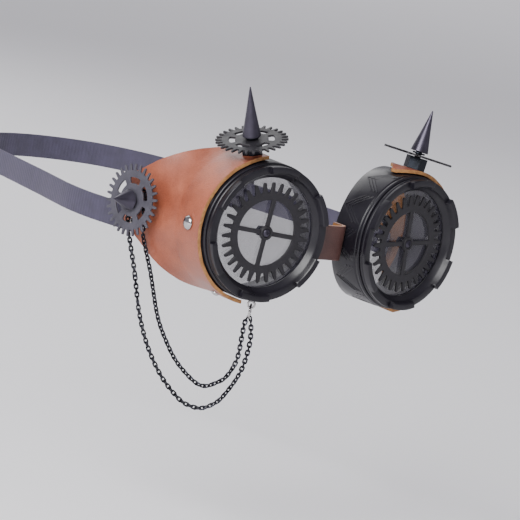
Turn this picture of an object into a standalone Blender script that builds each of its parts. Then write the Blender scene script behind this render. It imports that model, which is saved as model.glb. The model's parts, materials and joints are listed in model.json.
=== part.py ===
"""Costume goggles with cog overlays, leather side shields, studs, a chain and a head strap.

Frame: X to the wearer's left, Y to the back of the head, Z up. The origin is on the bridge of the nose,
midway between the eyecups. "left" and "right" are the wearer's, so the right eyecup is at -X.
"""

import math

import bmesh
import bpy
from mathutils import Matrix, Vector
from mathutils.geometry import interpolate_bezier

MM = 0.001
GAP = 0.3 * MM  # clearance between pieces that touch

# Eyecups: where they stand, and the barrel each one is built on
EYE_SPACING = 87.7 * MM  # between the two cog overlays
EYE_FRONT = 15.0 * MM  # cog overlay plane, in front of the origin
TOE_OUT = math.radians(6.1)  # each eyecup looks outwards by this
BARREL_RADIUS = 32.0 * MM
BARREL_WALL = 2.5 * MM
BARREL_FRONT = 1.1 * MM  # depths are measured back from the cog overlay plane
DEPTH_NASAL = 18.0 * MM
DEPTH_TEMPLE = 29.0 * MM

# Cap ring, lens and cog overlay
CAP_STEP = 0.8 * MM  # the cap is this much smaller than the barrel
CAP_RADIUS = BARREL_RADIUS - CAP_STEP
CAP_FACE = -2.5 * MM
CAP_BACK = 0.6 * MM
LUG_RISE = 2.3 * MM
LUG_WIDTH = 3.2 * MM  # across the ring
LUG_COUNT = 6
LUG_SHARE = 0.48  # of the pitch
LUG_TURN = 27.0  # degrees from the wearer's left to the first lug's middle, mirrored on the other eye
SKIRT_WALL = 1.4 * MM  # of the cap, between the barrel and the lens
LENS_RADIUS = BARREL_RADIUS - BARREL_WALL - 2 * GAP - SKIRT_WALL
LENS_LAP = 2.0 * MM  # of the lens behind the cap's rim
WINDOW_RADIUS = LENS_RADIUS - LENS_LAP
LENS_THICKNESS = 2.0 * MM
GASKET_THICKNESS = 1.2 * MM
SHOULDER_THICKNESS = 1.5 * MM
COG_MARGIN = 2.2 * MM  # between the cog's teeth and the window's edge
COG_TIP = WINDOW_RADIUS - COG_MARGIN
COG_TOOTH = 4.6 * MM
COG_ROOT = COG_TIP - COG_TOOTH
COG_RIM = 3.5 * MM
COG_HOLE = COG_ROOT - COG_RIM
COG_TEETH = 30
COG_THICKNESS = 1.0 * MM
SPOKE_WIDTH = 1.9 * MM
HUB_RADIUS = 3.0 * MM
LENS_SCREW_RADIUS = 1.0 * MM
LENS_NUT_RADIUS = 2.5 * MM

# Studs: a bolt through the leather, a hex standoff, a free cog, a washer and a spike
STUD_ANGLE = math.radians(12.8)  # outwards from the top of the barrel
STUD_DEPTH = 11.8 * MM
STUD_LEAN = {-1: (19.1, 5.9), 1: (9.0, 1.1)}  # degrees outwards and forwards, set by hand on each side
BOLT_RADIUS = 1.5 * MM
BOLT_HEAD = 2.8 * MM  # radius
STANDOFF_HEIGHT = 5.0 * MM
TOP_STANDOFF_RADIUS = 5.2 * MM
TEMPLE_STANDOFF_RADIUS = 4.7 * MM
SMALL_COG_TIP = 16.6 * MM
SMALL_COG_ROOT = 13.6 * MM
SMALL_COG_THICKNESS = 1.0 * MM
SLOT_INNER = 7.6 * MM
SLOT_OUTER = 10.4 * MM
SLOT_COUNT = 6
WASHER_RADIUS = 3.0 * MM
WASHER_THICKNESS = 0.8 * MM
TOP_SPIKES = ((4.2 * MM, 23.6 * MM), (4.2 * MM, 20.3 * MM))  # base radius and length, on the right and on the left
TEMPLE_SPIKE = (4.8 * MM, 9.5 * MM)

# Leather side shields
LEATHER = 2.0 * MM
SHIELD_FRONT = 3.0 * MM
SHIELD_BEND = 22.0 * MM  # depth where the shield leaves the barrel's curve
SHIELD_FLAT = 50.0 * MM  # depth where it is nearly flat
SHIELD_HEIGHT = BARREL_RADIUS  # half height of the flat section's arc
SHIELD_BULGE = 4.0 * MM
SHIELD_FLARE = 5.5 * MM
TEMPLE_STUD = (88.0, 46.0 * MM)  # angle and depth on the shield
SIDE_RIVET = (91.5, 11.6 * MM)
LOWER_RIVET = (155.0, 9.0 * MM)
# The shield's end over the top of each eye: the least angle from the top, and how far its front corner is cut back
SHIELD_CORNER = {-1: (4.0, 2.5 * MM), 1: (-14.0, 6.0 * MM)}
CORNER_SPAN = 24.0  # degrees that the cut takes
# Rear edge: angle from the top in degrees, depth in millimetres. The top part of the edge differs between the sides.
SHIELD_TOP = {-1: ((4, 15), (9, 22), (16, 27.5)), 1: ((-14, 11.5), (-6, 15), (8, 24))}
SHIELD_EDGE = (
    (27, 32), (46, 41), (60, 49), (70, 56), (88, 57.5),
    (106, 57), (117, 48), (129, 40.5), (148, 34), (164, 29), (171, 16), (174, 5),
)

# Bridge
BRIDGE_HEIGHT = 17.0 * MM
BRIDGE_CENTRE = -3.5 * MM
BRIDGE_DEPTH = 14.0 * MM  # of its rivets
BRIDGE_END = 17.7 * MM  # depth that its ends reach
BRIDGE_TURN = 11.5 * MM  # depth where it turns across the nose
BRIDGE_CORNER = 2.3 * MM

# Head strap: it lies inside the shields where Y is in STRAP_START, and then follows a loop round
# the head, given as shares of its half width and Y in millimetres
STRAP_HALF = EYE_SPACING / 2 + BARREL_RADIUS + 3.0 * MM
STRAP_START = (25.0 * MM, 31.0 * MM, 37.0 * MM, 45.0 * MM)
STRAP_WIDTH = 12.0 * MM
STRAP_THICKNESS = 1.4 * MM
STRAP_LEVEL = -9.0 * MM
STRAP_LAYERS = 0.5 * MM  # between the two halves where they overlap
STRAP_PATH = (
    (0.972, 56.0), (0.999, 70.0), (0.992, 85.0), (0.954, 101.0), (0.904, 119.0), (0.860, 137.0), (0.816, 155.0), (0.771, 173.0),
    (0.691, 192.0), (0.552, 208.0), (0.330, 219.5), (0.0, 224.0),
)
STRAP_OVERLAP = (105.0 * MM, 168.0 * MM)  # in Y, on the wearer's left
STRAP_RIVETS = (30.6 * MM, 37.6 * MM)  # in Y
SLIDER_Y = 137.0 * MM
SLIDER_LENGTH = 9.0 * MM
SLIDER_WALL = 1.6 * MM

# Chain, and the ring and screw eye that it hangs from
CHAIN_DIAMETER = 2.2 * MM
CHAIN_POINTS = 62
CHAIN_HEIGHT = 3.2 * MM  # above the leather, round the temple standoff
CHAIN_SEAT = TEMPLE_STANDOFF_RADIUS + CHAIN_DIAMETER / 2 + GAP
EYE_ANGLE = math.radians(-175.0)
EYE_DEPTH = 4.2 * MM
EYE_LOOP = 1.6 * MM
EYE_WIRE = 0.5 * MM
RING_RADIUS = 3.0 * MM
RING_WIRE = 0.55 * MM
# The chain's route in millimetres from the middle of the right eyecup's cog overlay
CHAIN_OUTER = (
    (4.5, 2.5, -41.9), (5.0, 1.4, -52.6), (3.6, 2.3, -65.8), (0.0, 6.5, -78.3),
    (-2.4, 9.5, -83.0), (-5.5, 13.5, -86.1), (-8.5, 17.2, -86.3), (-12.3, 22.0, -84.4),
    (-18.7, 30.1, -75.9), (-24.4, 37.3, -63.4), (-28.6, 42.5, -49.3), (-32.3, 47.2, -30.9),
    (-35.7, 52.3, -14.1),
)
CHAIN_INNER = (
    (-35.1, 43.2, -11.9), (-30.6, 37.7, -29.3), (-25.8, 32.7, -48.1), (-21.7, 28.2, -58.6),
    (-16.9, 23.0, -67.5), (-10.5, 16.2, -74.4), (-6.8, 12.4, -75.4), (-3.7, 9.0, -72.8),
    (-1.1, 6.0, -69.2), (1.2, 3.6, -60.5), (1.8, 4.0, -50.0), (2.4, 4.7, -41.9),
)

SIDES = {-1: "right", 1: "left"}


def start_scene() -> tuple:
    """Empties the scene and makes the two collections, for the parts and for their cutters."""
    for old in list(bpy.data.objects):
        bpy.data.objects.remove(old)
    made = []
    for name in ("costume_goggles", "cutters"):
        made.append(bpy.data.collections.new(name))
        bpy.context.scene.collection.children.link(made[-1])
    return tuple(made)


PARTS, CUTTERS = start_scene()


def finish(name: str, colour: tuple, roughness: float, metallic: float = 0.0) -> bpy.types.Material:
    """Makes a Principled material."""
    made = bpy.data.materials.new(name)
    made.use_nodes = True
    shader = made.node_tree.nodes["Principled BSDF"]
    shader.inputs["Base Color"].default_value = (*colour, 1.0)
    shader.inputs["Roughness"].default_value = roughness
    shader.inputs["Metallic"].default_value = metallic
    return made


BLACK = finish("black_plastic", (0.025, 0.025, 0.032), 0.35)
LENS = finish("clear_lens", (0.8, 0.82, 0.85), 0.05)
RUBBER = finish("rubber", (0.02, 0.02, 0.02), 0.8)
GUNMETAL = finish("gunmetal", (0.10, 0.10, 0.12), 0.4, 1.0)
NICKEL = finish("nickel", (0.75, 0.74, 0.72), 0.2, 1.0)
BLACK_STEEL = finish("blackened_steel", (0.06, 0.06, 0.08), 0.35, 1.0)
TAN = finish("tan_leather", (0.46, 0.15, 0.07), 0.5)
BROWN = finish("brown_leather", (0.20, 0.07, 0.05), 0.6)
SUEDE = finish("grey_strap", (0.12, 0.11, 0.14), 0.9)


def add(name: str, mesh: bpy.types.Mesh, place: Matrix, material=None) -> bpy.types.Object:
    """Adds a mesh as a part, or as a hidden cutter when it has no material."""
    made = bpy.data.objects.new(name, mesh)
    made.matrix_world = place
    if material is None:
        CUTTERS.objects.link(made)
        made.hide_render = True
        made.display_type = "WIRE"
    else:
        PARTS.objects.link(made)
        mesh.materials.append(material)
    return made


def turned(name: str, profile: list, place: Matrix, material=None, steps: int = 48, ring: bool = True):
    """Turns a profile of (radius, height) about local Z. A ring's profile closes on itself."""
    mesh = bpy.data.meshes.new(name)
    joins = [(i, i + 1) for i in range(len(profile) - 1)]
    if ring:
        joins.append((len(profile) - 1, 0))
    mesh.from_pydata([(radius, 0.0, height) for radius, height in profile], joins, [])
    made = add(name, mesh, place, material)
    screw = made.modifiers.new("turn", "SCREW")
    screw.steps = steps
    screw.render_steps = steps
    screw.use_merge_vertices = True
    screw.merge_threshold = 0.00001
    screw.use_smooth_shade = True
    return made


def flat(name: str, outlines: list, height: float, place: Matrix, material=None):
    """Extrudes closed outlines along local Z, from 0 to height. Inner outlines are holes."""
    curve = bpy.data.curves.new(name, "CURVE")
    curve.dimensions = "2D"
    curve.fill_mode = "BOTH"
    curve.extrude = height / 2
    for outline in outlines:
        spline = curve.splines.new("POLY")
        spline.points.add(len(outline) - 1)
        for point, (x, y) in zip(spline.points, outline):
            point.co = (x, y, 0.0, 1.0)
        spline.use_cyclic_u = True
    guide = bpy.data.objects.new(name + "_outline", curve)
    CUTTERS.objects.link(guide)
    graph = bpy.context.evaluated_depsgraph_get()
    mesh = bpy.data.meshes.new_from_object(guide.evaluated_get(graph))
    bpy.data.objects.remove(guide)
    shape = bmesh.new()
    shape.from_mesh(mesh)
    bmesh.ops.remove_doubles(shape, verts=shape.verts, dist=0.00001)
    bmesh.ops.translate(shape, verts=shape.verts, vec=(0.0, 0.0, height / 2))
    shape.to_mesh(mesh)
    shape.free()
    mesh.materials.clear()
    return add(name, mesh, place, material)


def tube(name: str, points: list, diameter: float, material) -> bpy.types.Object:
    """Runs a round tube along the points."""
    curve = bpy.data.curves.new(name, "CURVE")
    curve.dimensions = "3D"
    curve.bevel_depth = diameter / 2
    curve.bevel_resolution = 2
    curve.use_fill_caps = True
    spline = curve.splines.new("POLY")
    spline.points.add(len(points) - 1)
    for point, place in zip(spline.points, points):
        point.co = (*place, 1.0)
    made = bpy.data.objects.new(name, curve)
    PARTS.objects.link(made)
    curve.materials.append(material)
    return made


def combine(target: bpy.types.Object, other: bpy.types.Object, operation: str = "DIFFERENCE") -> None:
    """Cuts one object with another, or joins them."""
    boolean = target.modifiers.new(operation.lower(), "BOOLEAN")
    boolean.operation = operation
    boolean.solver = "EXACT"
    boolean.object = other


def hole(targets: list, radius: float, low: float, high: float, place: Matrix) -> None:
    """Drills the targets along local Z of place."""
    drill = turned(
        targets[0].name + "_drill", [(0, high), (radius, high), (radius, low), (0, low)], place, steps=20, ring=False
    )
    for target in targets:
        combine(target, drill)


def frame_at(point: Vector, outward: Vector, up: Vector = Vector((0, 0, 1))) -> Matrix:
    """Gives the place whose local Z points outward and whose local Y is as near up as it can be."""
    z = outward.normalized()
    x = up.cross(z).normalized()
    return Matrix.Translation(point) @ Matrix((x, z.cross(x), z)).transposed().to_4x4()


def smooth(points: list, per_span: int) -> list:
    """Gives a smooth curve through the points, as a list of vectors."""
    route = [Vector(point) for point in points]
    ends = [2 * route[0] - route[1], *route, 2 * route[-1] - route[-2]]
    made = []
    for before, start, end, after in zip(ends, ends[1:], ends[2:], ends[3:]):
        first = start + (end - before) / 6
        second = end - (after - start) / 6
        made += interpolate_bezier(start, first, second, end, per_span + 1)[:-1]
    return [*made, route[-1]]


def evenly(points: list, count: int) -> list:
    """Spaces a number of points evenly along a path."""
    lengths = [0.0]
    for start, end in zip(points, points[1:]):
        lengths.append(lengths[-1] + (end - start).length)
    made = []
    span = 0
    for index in range(count):
        want = lengths[-1] * index / (count - 1)
        while span < len(points) - 2 and lengths[span + 1] < want:
            span += 1
        share = (want - lengths[span]) / (lengths[span + 1] - lengths[span])
        made.append(points[span].lerp(points[span + 1], share))
    return made


def circle(radius: float, count: int, start: float = 0.0, end: float = math.tau) -> list:
    """Gives points round a circle, or along an arc with both its ends."""
    closed = math.isclose(end - start, math.tau)
    steps = count if closed else count - 1
    turns = [start + (end - start) * i / steps for i in range(count)]
    return [(radius * math.cos(turn), radius * math.sin(turn)) for turn in turns]


class Eye:
    """The axes of one eyecup, and points and directions round its barrel."""

    def __init__(self, side: int):
        self.side = side
        self.centre = Vector((side * EYE_SPACING / 2, -EYE_FRONT, 0))
        self.front = Vector((side * math.sin(TOE_OUT), -math.cos(TOE_OUT), 0))
        self.outward = Vector((side * math.cos(TOE_OUT), math.sin(TOE_OUT), 0))
        self.up = Vector((0, 0, 1))

    def radial(self, angle: float) -> Vector:
        """The direction at an angle from the top, outwards."""
        return math.cos(angle) * self.up + math.sin(angle) * self.outward

    def at(self, depth: float, radius: float, angle: float) -> Vector:
        """The point at a depth, a radius and an angle."""
        return self.centre - depth * self.front + radius * self.radial(angle)

    def place(self, depth: float = 0.0) -> Matrix:
        """A frame on the axis: local Z to the front, local Y up."""
        return frame_at(self.centre - depth * self.front, self.front)

    def shield(self, angle: float, depth: float) -> Vector:
        """The middle of the leather's thickness: round the barrel, then flattening towards the temple."""
        radius = BARREL_RADIUS + GAP + LEATHER / 2
        share = max(0.0, depth - SHIELD_BEND) / (SHIELD_FLAT - SHIELD_BEND)
        ease = min(share, 1.0) ** 2 * (3 - 2 * min(share, 1.0))
        bulge = radius + (SHIELD_BULGE - radius) * ease
        tall = radius + (SHIELD_HEIGHT - radius) * ease
        out = radius - bulge + SHIELD_FLARE * share
        middle = self.centre - depth * self.front
        return middle + (out + bulge * math.sin(angle)) * self.outward + tall * math.cos(angle) * self.up

    def shield_normal(self, angle: float, depth: float) -> Vector:
        """The outward direction of the leather's face."""
        step = 0.0005
        along = self.shield(angle, depth + step) - self.shield(angle, depth - step)
        round_it = self.shield(angle + 0.01, depth) - self.shield(angle - 0.01, depth)
        normal = along.cross(round_it).normalized()
        return normal if normal.dot(self.radial(angle)) > 0 else -normal


def cog_outline(tip: float, root: float, teeth: int) -> list:
    """The toothed edge of a cog, with teeth that narrow towards their tips."""
    pitch = math.tau / teeth
    made = []
    for tooth in range(teeth):
        for radius, share in ((root, -0.30), (tip, -0.13), (tip, 0.13), (root, 0.30)):
            turn = (tooth + share) * pitch
            made.append((radius * math.cos(turn), radius * math.sin(turn)))
    return made


def cap_ring(eye: Eye, name: str) -> None:
    """The screw-on ring, with its lugs left standing between the gaps cut in its rim."""
    rim = CAP_FACE - LUG_RISE
    chamfer = 0.5 * MM
    skirt = BARREL_RADIUS - BARREL_WALL - GAP
    skirt_end = CAP_BACK + 0.4 * MM + GAP + LENS_THICKNESS
    pocket = LENS_RADIUS + GAP
    inner = CAP_RADIUS - LUG_WIDTH
    lip = CAP_BACK + 0.4 * MM
    profile = [
        (CAP_RADIUS - chamfer, rim), (CAP_RADIUS, rim + chamfer), (CAP_RADIUS, CAP_BACK), (skirt, CAP_BACK),
        (skirt, skirt_end), (pocket, skirt_end), (pocket, lip), (WINDOW_RADIUS, lip), (WINDOW_RADIUS, lip - 0.3 * MM),
        (inner, CAP_FACE + 1.5 * MM), (inner, rim),
    ]
    cap = turned(name, [(radius, -depth) for radius, depth in profile], eye.place(), BLACK, steps=48)
    pitch = math.tau / LUG_COUNT
    first = math.radians(LUG_TURN) * -eye.side
    gaps = []
    for lug in range(LUG_COUNT):
        start = first + (lug + LUG_SHARE / 2) * pitch
        end = first + (lug + 1 - LUG_SHARE / 2) * pitch
        gaps.append(circle(CAP_RADIUS + 2 * MM, 8, start, end) + circle(inner - 3 * MM, 8, start, end)[::-1])
    front = eye.place() @ Matrix.Translation((0, 0, -CAP_FACE))
    combine(cap, flat(name + "_gaps", gaps, LUG_RISE + 1 * MM, front))


def lens_set(eye: Eye, side: str) -> None:
    """The lens, its gasket, and the cog overlay held by a screw and nut through the lens's middle."""
    lens_front = CAP_BACK + 0.4 * MM + GAP
    lens_back = lens_front + LENS_THICKNESS
    bore = LENS_SCREW_RADIUS + GAP
    lens = [(LENS_RADIUS, lens_front), (LENS_RADIUS, lens_back), (bore, lens_back), (bore, lens_front)]
    turned(side + "_lens", [(radius, -depth) for radius, depth in lens], eye.place(), LENS, steps=36)
    seat = lens_back + GAP
    seal = [(LENS_RADIUS + 0.8 * MM, seat), (LENS_RADIUS + 0.8 * MM, seat + GASKET_THICKNESS)]
    seal += [(WINDOW_RADIUS + 0.6 * MM, seat + GASKET_THICKNESS), (WINDOW_RADIUS + 0.6 * MM, seat)]
    turned(side + "_lens_gasket", [(radius, -depth) for radius, depth in seal], eye.place(), RUBBER, steps=32)

    outlines = [cog_outline(COG_TIP, COG_ROOT, COG_TEETH), circle(bore, 16)]
    half = SPOKE_WIDTH / 2
    for quarter in range(4):
        turn = quarter * math.pi / 2
        outer = circle(COG_HOLE, 12, turn + math.asin(half / COG_HOLE), turn + math.pi / 2 - math.asin(half / COG_HOLE))
        inner = circle(HUB_RADIUS, 5, turn + math.asin(half / HUB_RADIUS), turn + math.pi / 2 - math.asin(half / HUB_RADIUS))
        outlines.append(outer + inner[::-1])
    cog_back = COG_THICKNESS / 2
    lean = Matrix.Rotation(math.radians(4.0 * eye.side), 4, "Z")
    flat(side + "_lens_cog", outlines, COG_THICKNESS, eye.place(cog_back) @ lean, GUNMETAL)

    head = -COG_THICKNESS / 2 - GAP
    nut_front = lens_back + GAP
    nut_back = nut_front + 1.6 * MM
    screw = [(0, head - 0.8 * MM), (1.2 * MM, head - 0.7 * MM), (1.8 * MM, head - 0.2 * MM), (1.8 * MM, head)]
    screw += [(LENS_SCREW_RADIUS, head), (LENS_SCREW_RADIUS, nut_back + 0.4 * MM), (0, nut_back + 0.4 * MM)]
    turned(side + "_lens_screw", [(radius, -depth) for radius, depth in screw], eye.place(), GUNMETAL, 20, False)
    flat(side + "_lens_nut", [circle(LENS_NUT_RADIUS, 6), circle(bore, 12)], 1.6 * MM, eye.place(nut_back), GUNMETAL)


def barrel(eye: Eye, name: str) -> bpy.types.Object:
    """The eyecup: a tube with a shoulder for the gasket, cut at a slant to meet the face."""
    bore = BARREL_RADIUS - BARREL_WALL
    shoulder = CAP_BACK + 0.4 * MM + 3 * GAP + LENS_THICKNESS + GASKET_THICKNESS
    shoulder_end = shoulder + SHOULDER_THICKNESS
    long = DEPTH_TEMPLE + 10 * MM
    profile = [
        (BARREL_RADIUS - 0.5 * MM, BARREL_FRONT), (BARREL_RADIUS, BARREL_FRONT + 0.5 * MM), (BARREL_RADIUS, long),
        (bore, long), (bore, shoulder_end + 1 * MM), (WINDOW_RADIUS + 0.5 * MM, shoulder_end),
        (WINDOW_RADIUS + 0.5 * MM, shoulder), (bore, shoulder), (bore, BARREL_FRONT),
    ]
    made = turned(name, [(radius, -depth) for radius, depth in profile], eye.place(), BLACK, steps=36)
    slant = math.atan((DEPTH_TEMPLE - DEPTH_NASAL) / (2 * BARREL_RADIUS))
    middle = eye.place((DEPTH_NASAL + DEPTH_TEMPLE) / 2) @ Matrix.Rotation(eye.side * slant, 4, "Y")
    square = [(-0.06, -0.06), (0.06, -0.06), (0.06, 0.06), (-0.06, 0.06)]
    combine(made, flat(name + "_face_cut", [square], 0.05, middle @ Matrix.Translation((0, 0, -0.05))))
    return made


def shield_front(side: int, angle: float) -> float:
    """The depth of the shield's front edge at an angle in degrees, cut back towards its end over the eye."""
    start, rise = SHIELD_CORNER[side]
    return SHIELD_FRONT + rise * max(0.0, 1 - (angle - start) / CORNER_SPAN) ** 2


def side_shield(eye: Eye, name: str) -> bpy.types.Object:
    """The leather that wraps the outer half of the barrel and runs back to the temple."""
    columns = 18
    rows = 5
    shape = bmesh.new()
    bmesh.ops.create_grid(shape, x_segments=columns, y_segments=rows, size=0.5)
    edge = smooth([(angle, depth, 0) for angle, depth in (*SHIELD_TOP[eye.side], *SHIELD_EDGE)], 6)
    edge = evenly(edge, columns + 1)
    for vert in shape.verts:
        angle, depth, _ = edge[round((vert.co.x + 0.5) * columns)]
        share = vert.co.y + 0.5
        front = shield_front(eye.side, angle)
        vert.co = eye.shield(math.radians(angle), front + (depth * MM - front) * share)
    mesh = bpy.data.meshes.new(name)
    shape.to_mesh(mesh)
    shape.free()
    mesh.shade_smooth()
    made = add(name, mesh, Matrix(), TAN)
    solid = made.modifiers.new("thickness", "SOLIDIFY")
    solid.thickness = LEATHER
    solid.offset = 0.0
    solid.use_even_offset = True
    return made


def rivet(name: str, place: Matrix, radius: float, below: float, material=NICKEL) -> None:
    """A domed rivet on local Z, standing on the surface at 0, with its shank and tail down to below."""
    shank = 1.1 * MM
    tail = radius * 0.65
    dome = [(radius * math.sin(turn), GAP + 0.55 * radius * math.cos(turn)) for turn in (0, 0.5, 0.95, math.pi / 2)]
    dome[0] = (0.0, dome[0][1])
    end = -below - GAP
    profile = [*dome, (shank, GAP), (shank, end), (tail, end), (tail, end - 0.9 * MM), (0, end - 0.9 * MM)]
    turned(name, profile, place, material, 10, False)


def stud(name: str, place: Matrix, below: float, standoff: float, spike: tuple) -> None:
    """Bolt, hex standoff, free cog, washer and spike along local Z, seated at 0."""
    bore = BOLT_RADIUS + GAP
    cog_low = STANDOFF_HEIGHT + GAP
    washer_low = cog_low + SMALL_COG_THICKNESS + GAP
    spike_low = washer_low + WASHER_THICKNESS + GAP
    base, length = spike
    head = -below - GAP
    bolt_top = spike_low + 0.35 * length
    bolt = [(0, bolt_top), (BOLT_RADIUS, bolt_top), (BOLT_RADIUS, head), (BOLT_HEAD, head)]
    bolt += [(BOLT_HEAD, head - 1.0 * MM), (0.8 * BOLT_HEAD, head - 1.5 * MM), (0, head - 1.5 * MM)]
    turned(name + "_bolt", bolt, place, BLACK_STEEL, 16, False)
    flat(name + "_standoff", [circle(standoff, 6), circle(bore, 16)], STANDOFF_HEIGHT, place, BLACK_STEEL)
    outlines = [cog_outline(SMALL_COG_TIP, SMALL_COG_ROOT, COG_TEETH), circle(bore, 16)]
    pitch = math.tau / SLOT_COUNT
    for slot in range(SLOT_COUNT):
        arc = ((slot + 0.16) * pitch, (slot + 0.84) * pitch)
        outlines.append(circle(SLOT_OUTER, 4, *arc) + circle(SLOT_INNER, 3, *arc)[::-1])
    flat(name + "_cog", outlines, SMALL_COG_THICKNESS, place @ Matrix.Translation((0, 0, cog_low)), GUNMETAL)
    washer_top = washer_low + WASHER_THICKNESS
    washer = [(WASHER_RADIUS, washer_top), (WASHER_RADIUS, washer_low), (bore, washer_low), (bore, washer_top)]
    turned(name + "_washer", washer, place, BLACK_STEEL, 16)
    deep = bolt_top + GAP
    cone = [(0, spike_low + length), (0.3 * MM, spike_low + length - 0.4 * MM), (base, spike_low + 0.5 * MM)]
    cone += [(base - 0.3 * MM, spike_low), (bore, spike_low), (bore, deep), (0, deep)]
    turned(name + "_spike", cone, place, GUNMETAL, 24, False)


def eyecup(side: int) -> None:
    """One eyecup with everything that is fixed to it."""
    eye = Eye(side)
    word = SIDES[side]
    cup = barrel(eye, word + "_barrel")
    cap_ring(eye, word + "_cap_ring")
    lens_set(eye, word)
    shield = side_shield(eye, word + "_side_shield")

    leather_top = BARREL_RADIUS + GAP + LEATHER
    through = leather_top - BARREL_RADIUS + BARREL_WALL
    for label, (degrees, depth), radius in (("side", SIDE_RIVET, 3.25 * MM), ("lower", LOWER_RIVET, 1.9 * MM)):
        angle = math.radians(degrees)
        spot = frame_at(eye.at(depth, leather_top, angle), eye.radial(angle), eye.front)
        rivet(f"{word}_{label}_rivet", spot, radius, through)
        hole([cup, shield], 1.1 * MM + GAP, -3 * through, 2 * through, spot)

    out, forward = (math.radians(value) for value in STUD_LEAN[side])
    lean = math.cos(forward) * eye.radial(out) + math.sin(forward) * eye.front
    rise = 0.9 * MM
    top = frame_at(eye.at(STUD_DEPTH, leather_top + rise, STUD_ANGLE), lean, eye.front)
    tilt = math.sin(lean.angle(eye.radial(STUD_ANGLE))) + BOLT_HEAD / (2 * (BARREL_RADIUS - BARREL_WALL))
    stud(word + "_top", top, through + rise + BOLT_HEAD * tilt, TOP_STANDOFF_RADIUS, TOP_SPIKES[eye.side > 0])
    hole([cup, shield], BOLT_RADIUS + GAP, -2 * through, 2 * through, top)

    degrees, depth = TEMPLE_STUD
    angle = math.radians(degrees)
    normal = eye.shield_normal(angle, depth)
    temple = frame_at(eye.shield(angle, depth) + normal * (LEATHER / 2 + GAP), normal)
    stud(word + "_temple", temple, LEATHER + GAP, TEMPLE_STANDOFF_RADIUS, TEMPLE_SPIKE)
    hole([shield], BOLT_RADIUS + GAP, -4 * LEATHER, 4 * LEATHER, temple)

    spot = frame_at(eye.at(BRIDGE_DEPTH, BARREL_RADIUS, -math.pi / 2) + Vector((0, 0, BRIDGE_CENTRE)), -eye.outward)
    drop = LEATHER + GAP
    head_place = spot @ Matrix.Translation((0, 0, drop))
    rivet(word + "_bridge_rivet", head_place, 2.0 * MM, drop + BARREL_WALL + 0.3 * MM)
    hole([cup, BRIDGE], 1.1 * MM + GAP, -2 * BARREL_WALL, 3 * LEATHER, spot)
    if side < 0:
        eye_hole = frame_at(eye.at(EYE_DEPTH, BARREL_RADIUS, EYE_ANGLE), eye.radial(EYE_ANGLE), eye.front)
        hole([cup], 0.8 * MM + GAP, -2 * BARREL_WALL, BARREL_WALL, eye_hole)
    for index, along in enumerate(STRAP_RIVETS):
        strap_rivet(eye, f"{word}_strap_rivet_{'ab'[index]}", along, shield, STRAPS[side])


def shield_at(eye: Eye, along: float, level: float) -> tuple:
    """The angle and depth of the shield's point where Y is along and Z is level."""
    depth = along + EYE_FRONT
    angle = math.pi / 2
    for _ in range(8):
        spot = eye.shield(angle, depth)
        depth += along - spot.y
        angle += (spot.z - level) / SHIELD_HEIGHT
    return angle, depth


def strap_line() -> list:
    """The middle line of the whole strap loop, from its right end round the head to its left end."""
    eye = Eye(-1)
    inwards = LEATHER / 2 + GAP + STRAP_THICKNESS / 2 + abs(strap_offset(-1))
    half = []
    for along in STRAP_START:
        spot = eye.shield(*shield_at(eye, along, STRAP_LEVEL - STRAP_WIDTH / 2))
        half.append((spot.x + inwards, along, 0))
    half += [(-share * STRAP_HALF, y * MM, 0) for share, y in STRAP_PATH]
    return smooth(half + [(-x, y, 0) for x, y, _ in half[-2::-1]], 2)


def strap_offset(side: int) -> float:
    """How far outside the middle line each half of the strap lies."""
    return -side * (STRAP_THICKNESS + STRAP_LAYERS) / 2


def strap_rivet(eye: Eye, name: str, along: float, shield, strap) -> None:
    """A small rivet through the shield and the strap's end, standing on the shield where Y is along."""
    angle, depth = shield_at(eye, along, STRAP_LEVEL)
    normal = eye.shield_normal(angle, depth)
    place = frame_at(eye.shield(angle, depth) + normal * LEATHER / 2, normal)
    ends = strap_line()[::eye.side * -1]
    start, end = next(pair for pair in zip(ends, ends[1:]) if pair[1].y >= along)
    middle = start.lerp(end, (along - start.y) / (end.y - start.y))
    to_strap = abs(place.translation.x - middle.x) - strap_offset(eye.side)
    below = to_strap + STRAP_THICKNESS / 2 + GAP
    rivet(name, place, 1.9 * MM, below)
    hole([shield, strap], 1.1 * MM + GAP, -2 * below, below, place)


def ribbon(name: str, path: list, thickness: float, offset: float, low: float, height: float, material):
    """A flat strip on edge that follows a path seen from above, moved sideways by an offset."""
    ahead = [(end - start).normalized() for start, end in zip(path, path[1:])]
    ahead = [ahead[0], *[(a + b).normalized() for a, b in zip(ahead, ahead[1:])], ahead[-1]]
    outer = []
    inner = []
    for point, way in zip(path, ahead):
        left = Vector((-way.y, way.x, 0))
        outer.append((point + left * (offset + thickness / 2))[:2])
        inner.append((point + left * (offset - thickness / 2))[:2])
    return flat(name, [outer + inner[::-1]], height, Matrix.Translation((0, 0, low)), material)


def bridge() -> bpy.types.Object:
    """The leather strip across the nose, whose ends turn back along the barrels."""
    eye = Eye(-1)
    clear = BARREL_RADIUS + GAP + LEATHER / 2
    half = [eye.at(depth, clear, -math.pi / 2) for depth in (BRIDGE_END, BRIDGE_DEPTH, BRIDGE_TURN)]
    corner = half[-1] + Vector((BRIDGE_CORNER, -0.7 * BRIDGE_CORNER, 0))
    half += [corner, Vector((0, corner.y - 0.3 * MM, 0))]
    whole = half + [Vector((-point.x, point.y, 0)) for point in half[-2::-1]]
    low = BRIDGE_CENTRE - BRIDGE_HEIGHT / 2
    return ribbon("bridge_strap", smooth(whole, 2), LEATHER, 0, low, BRIDGE_HEIGHT, BROWN)


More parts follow.
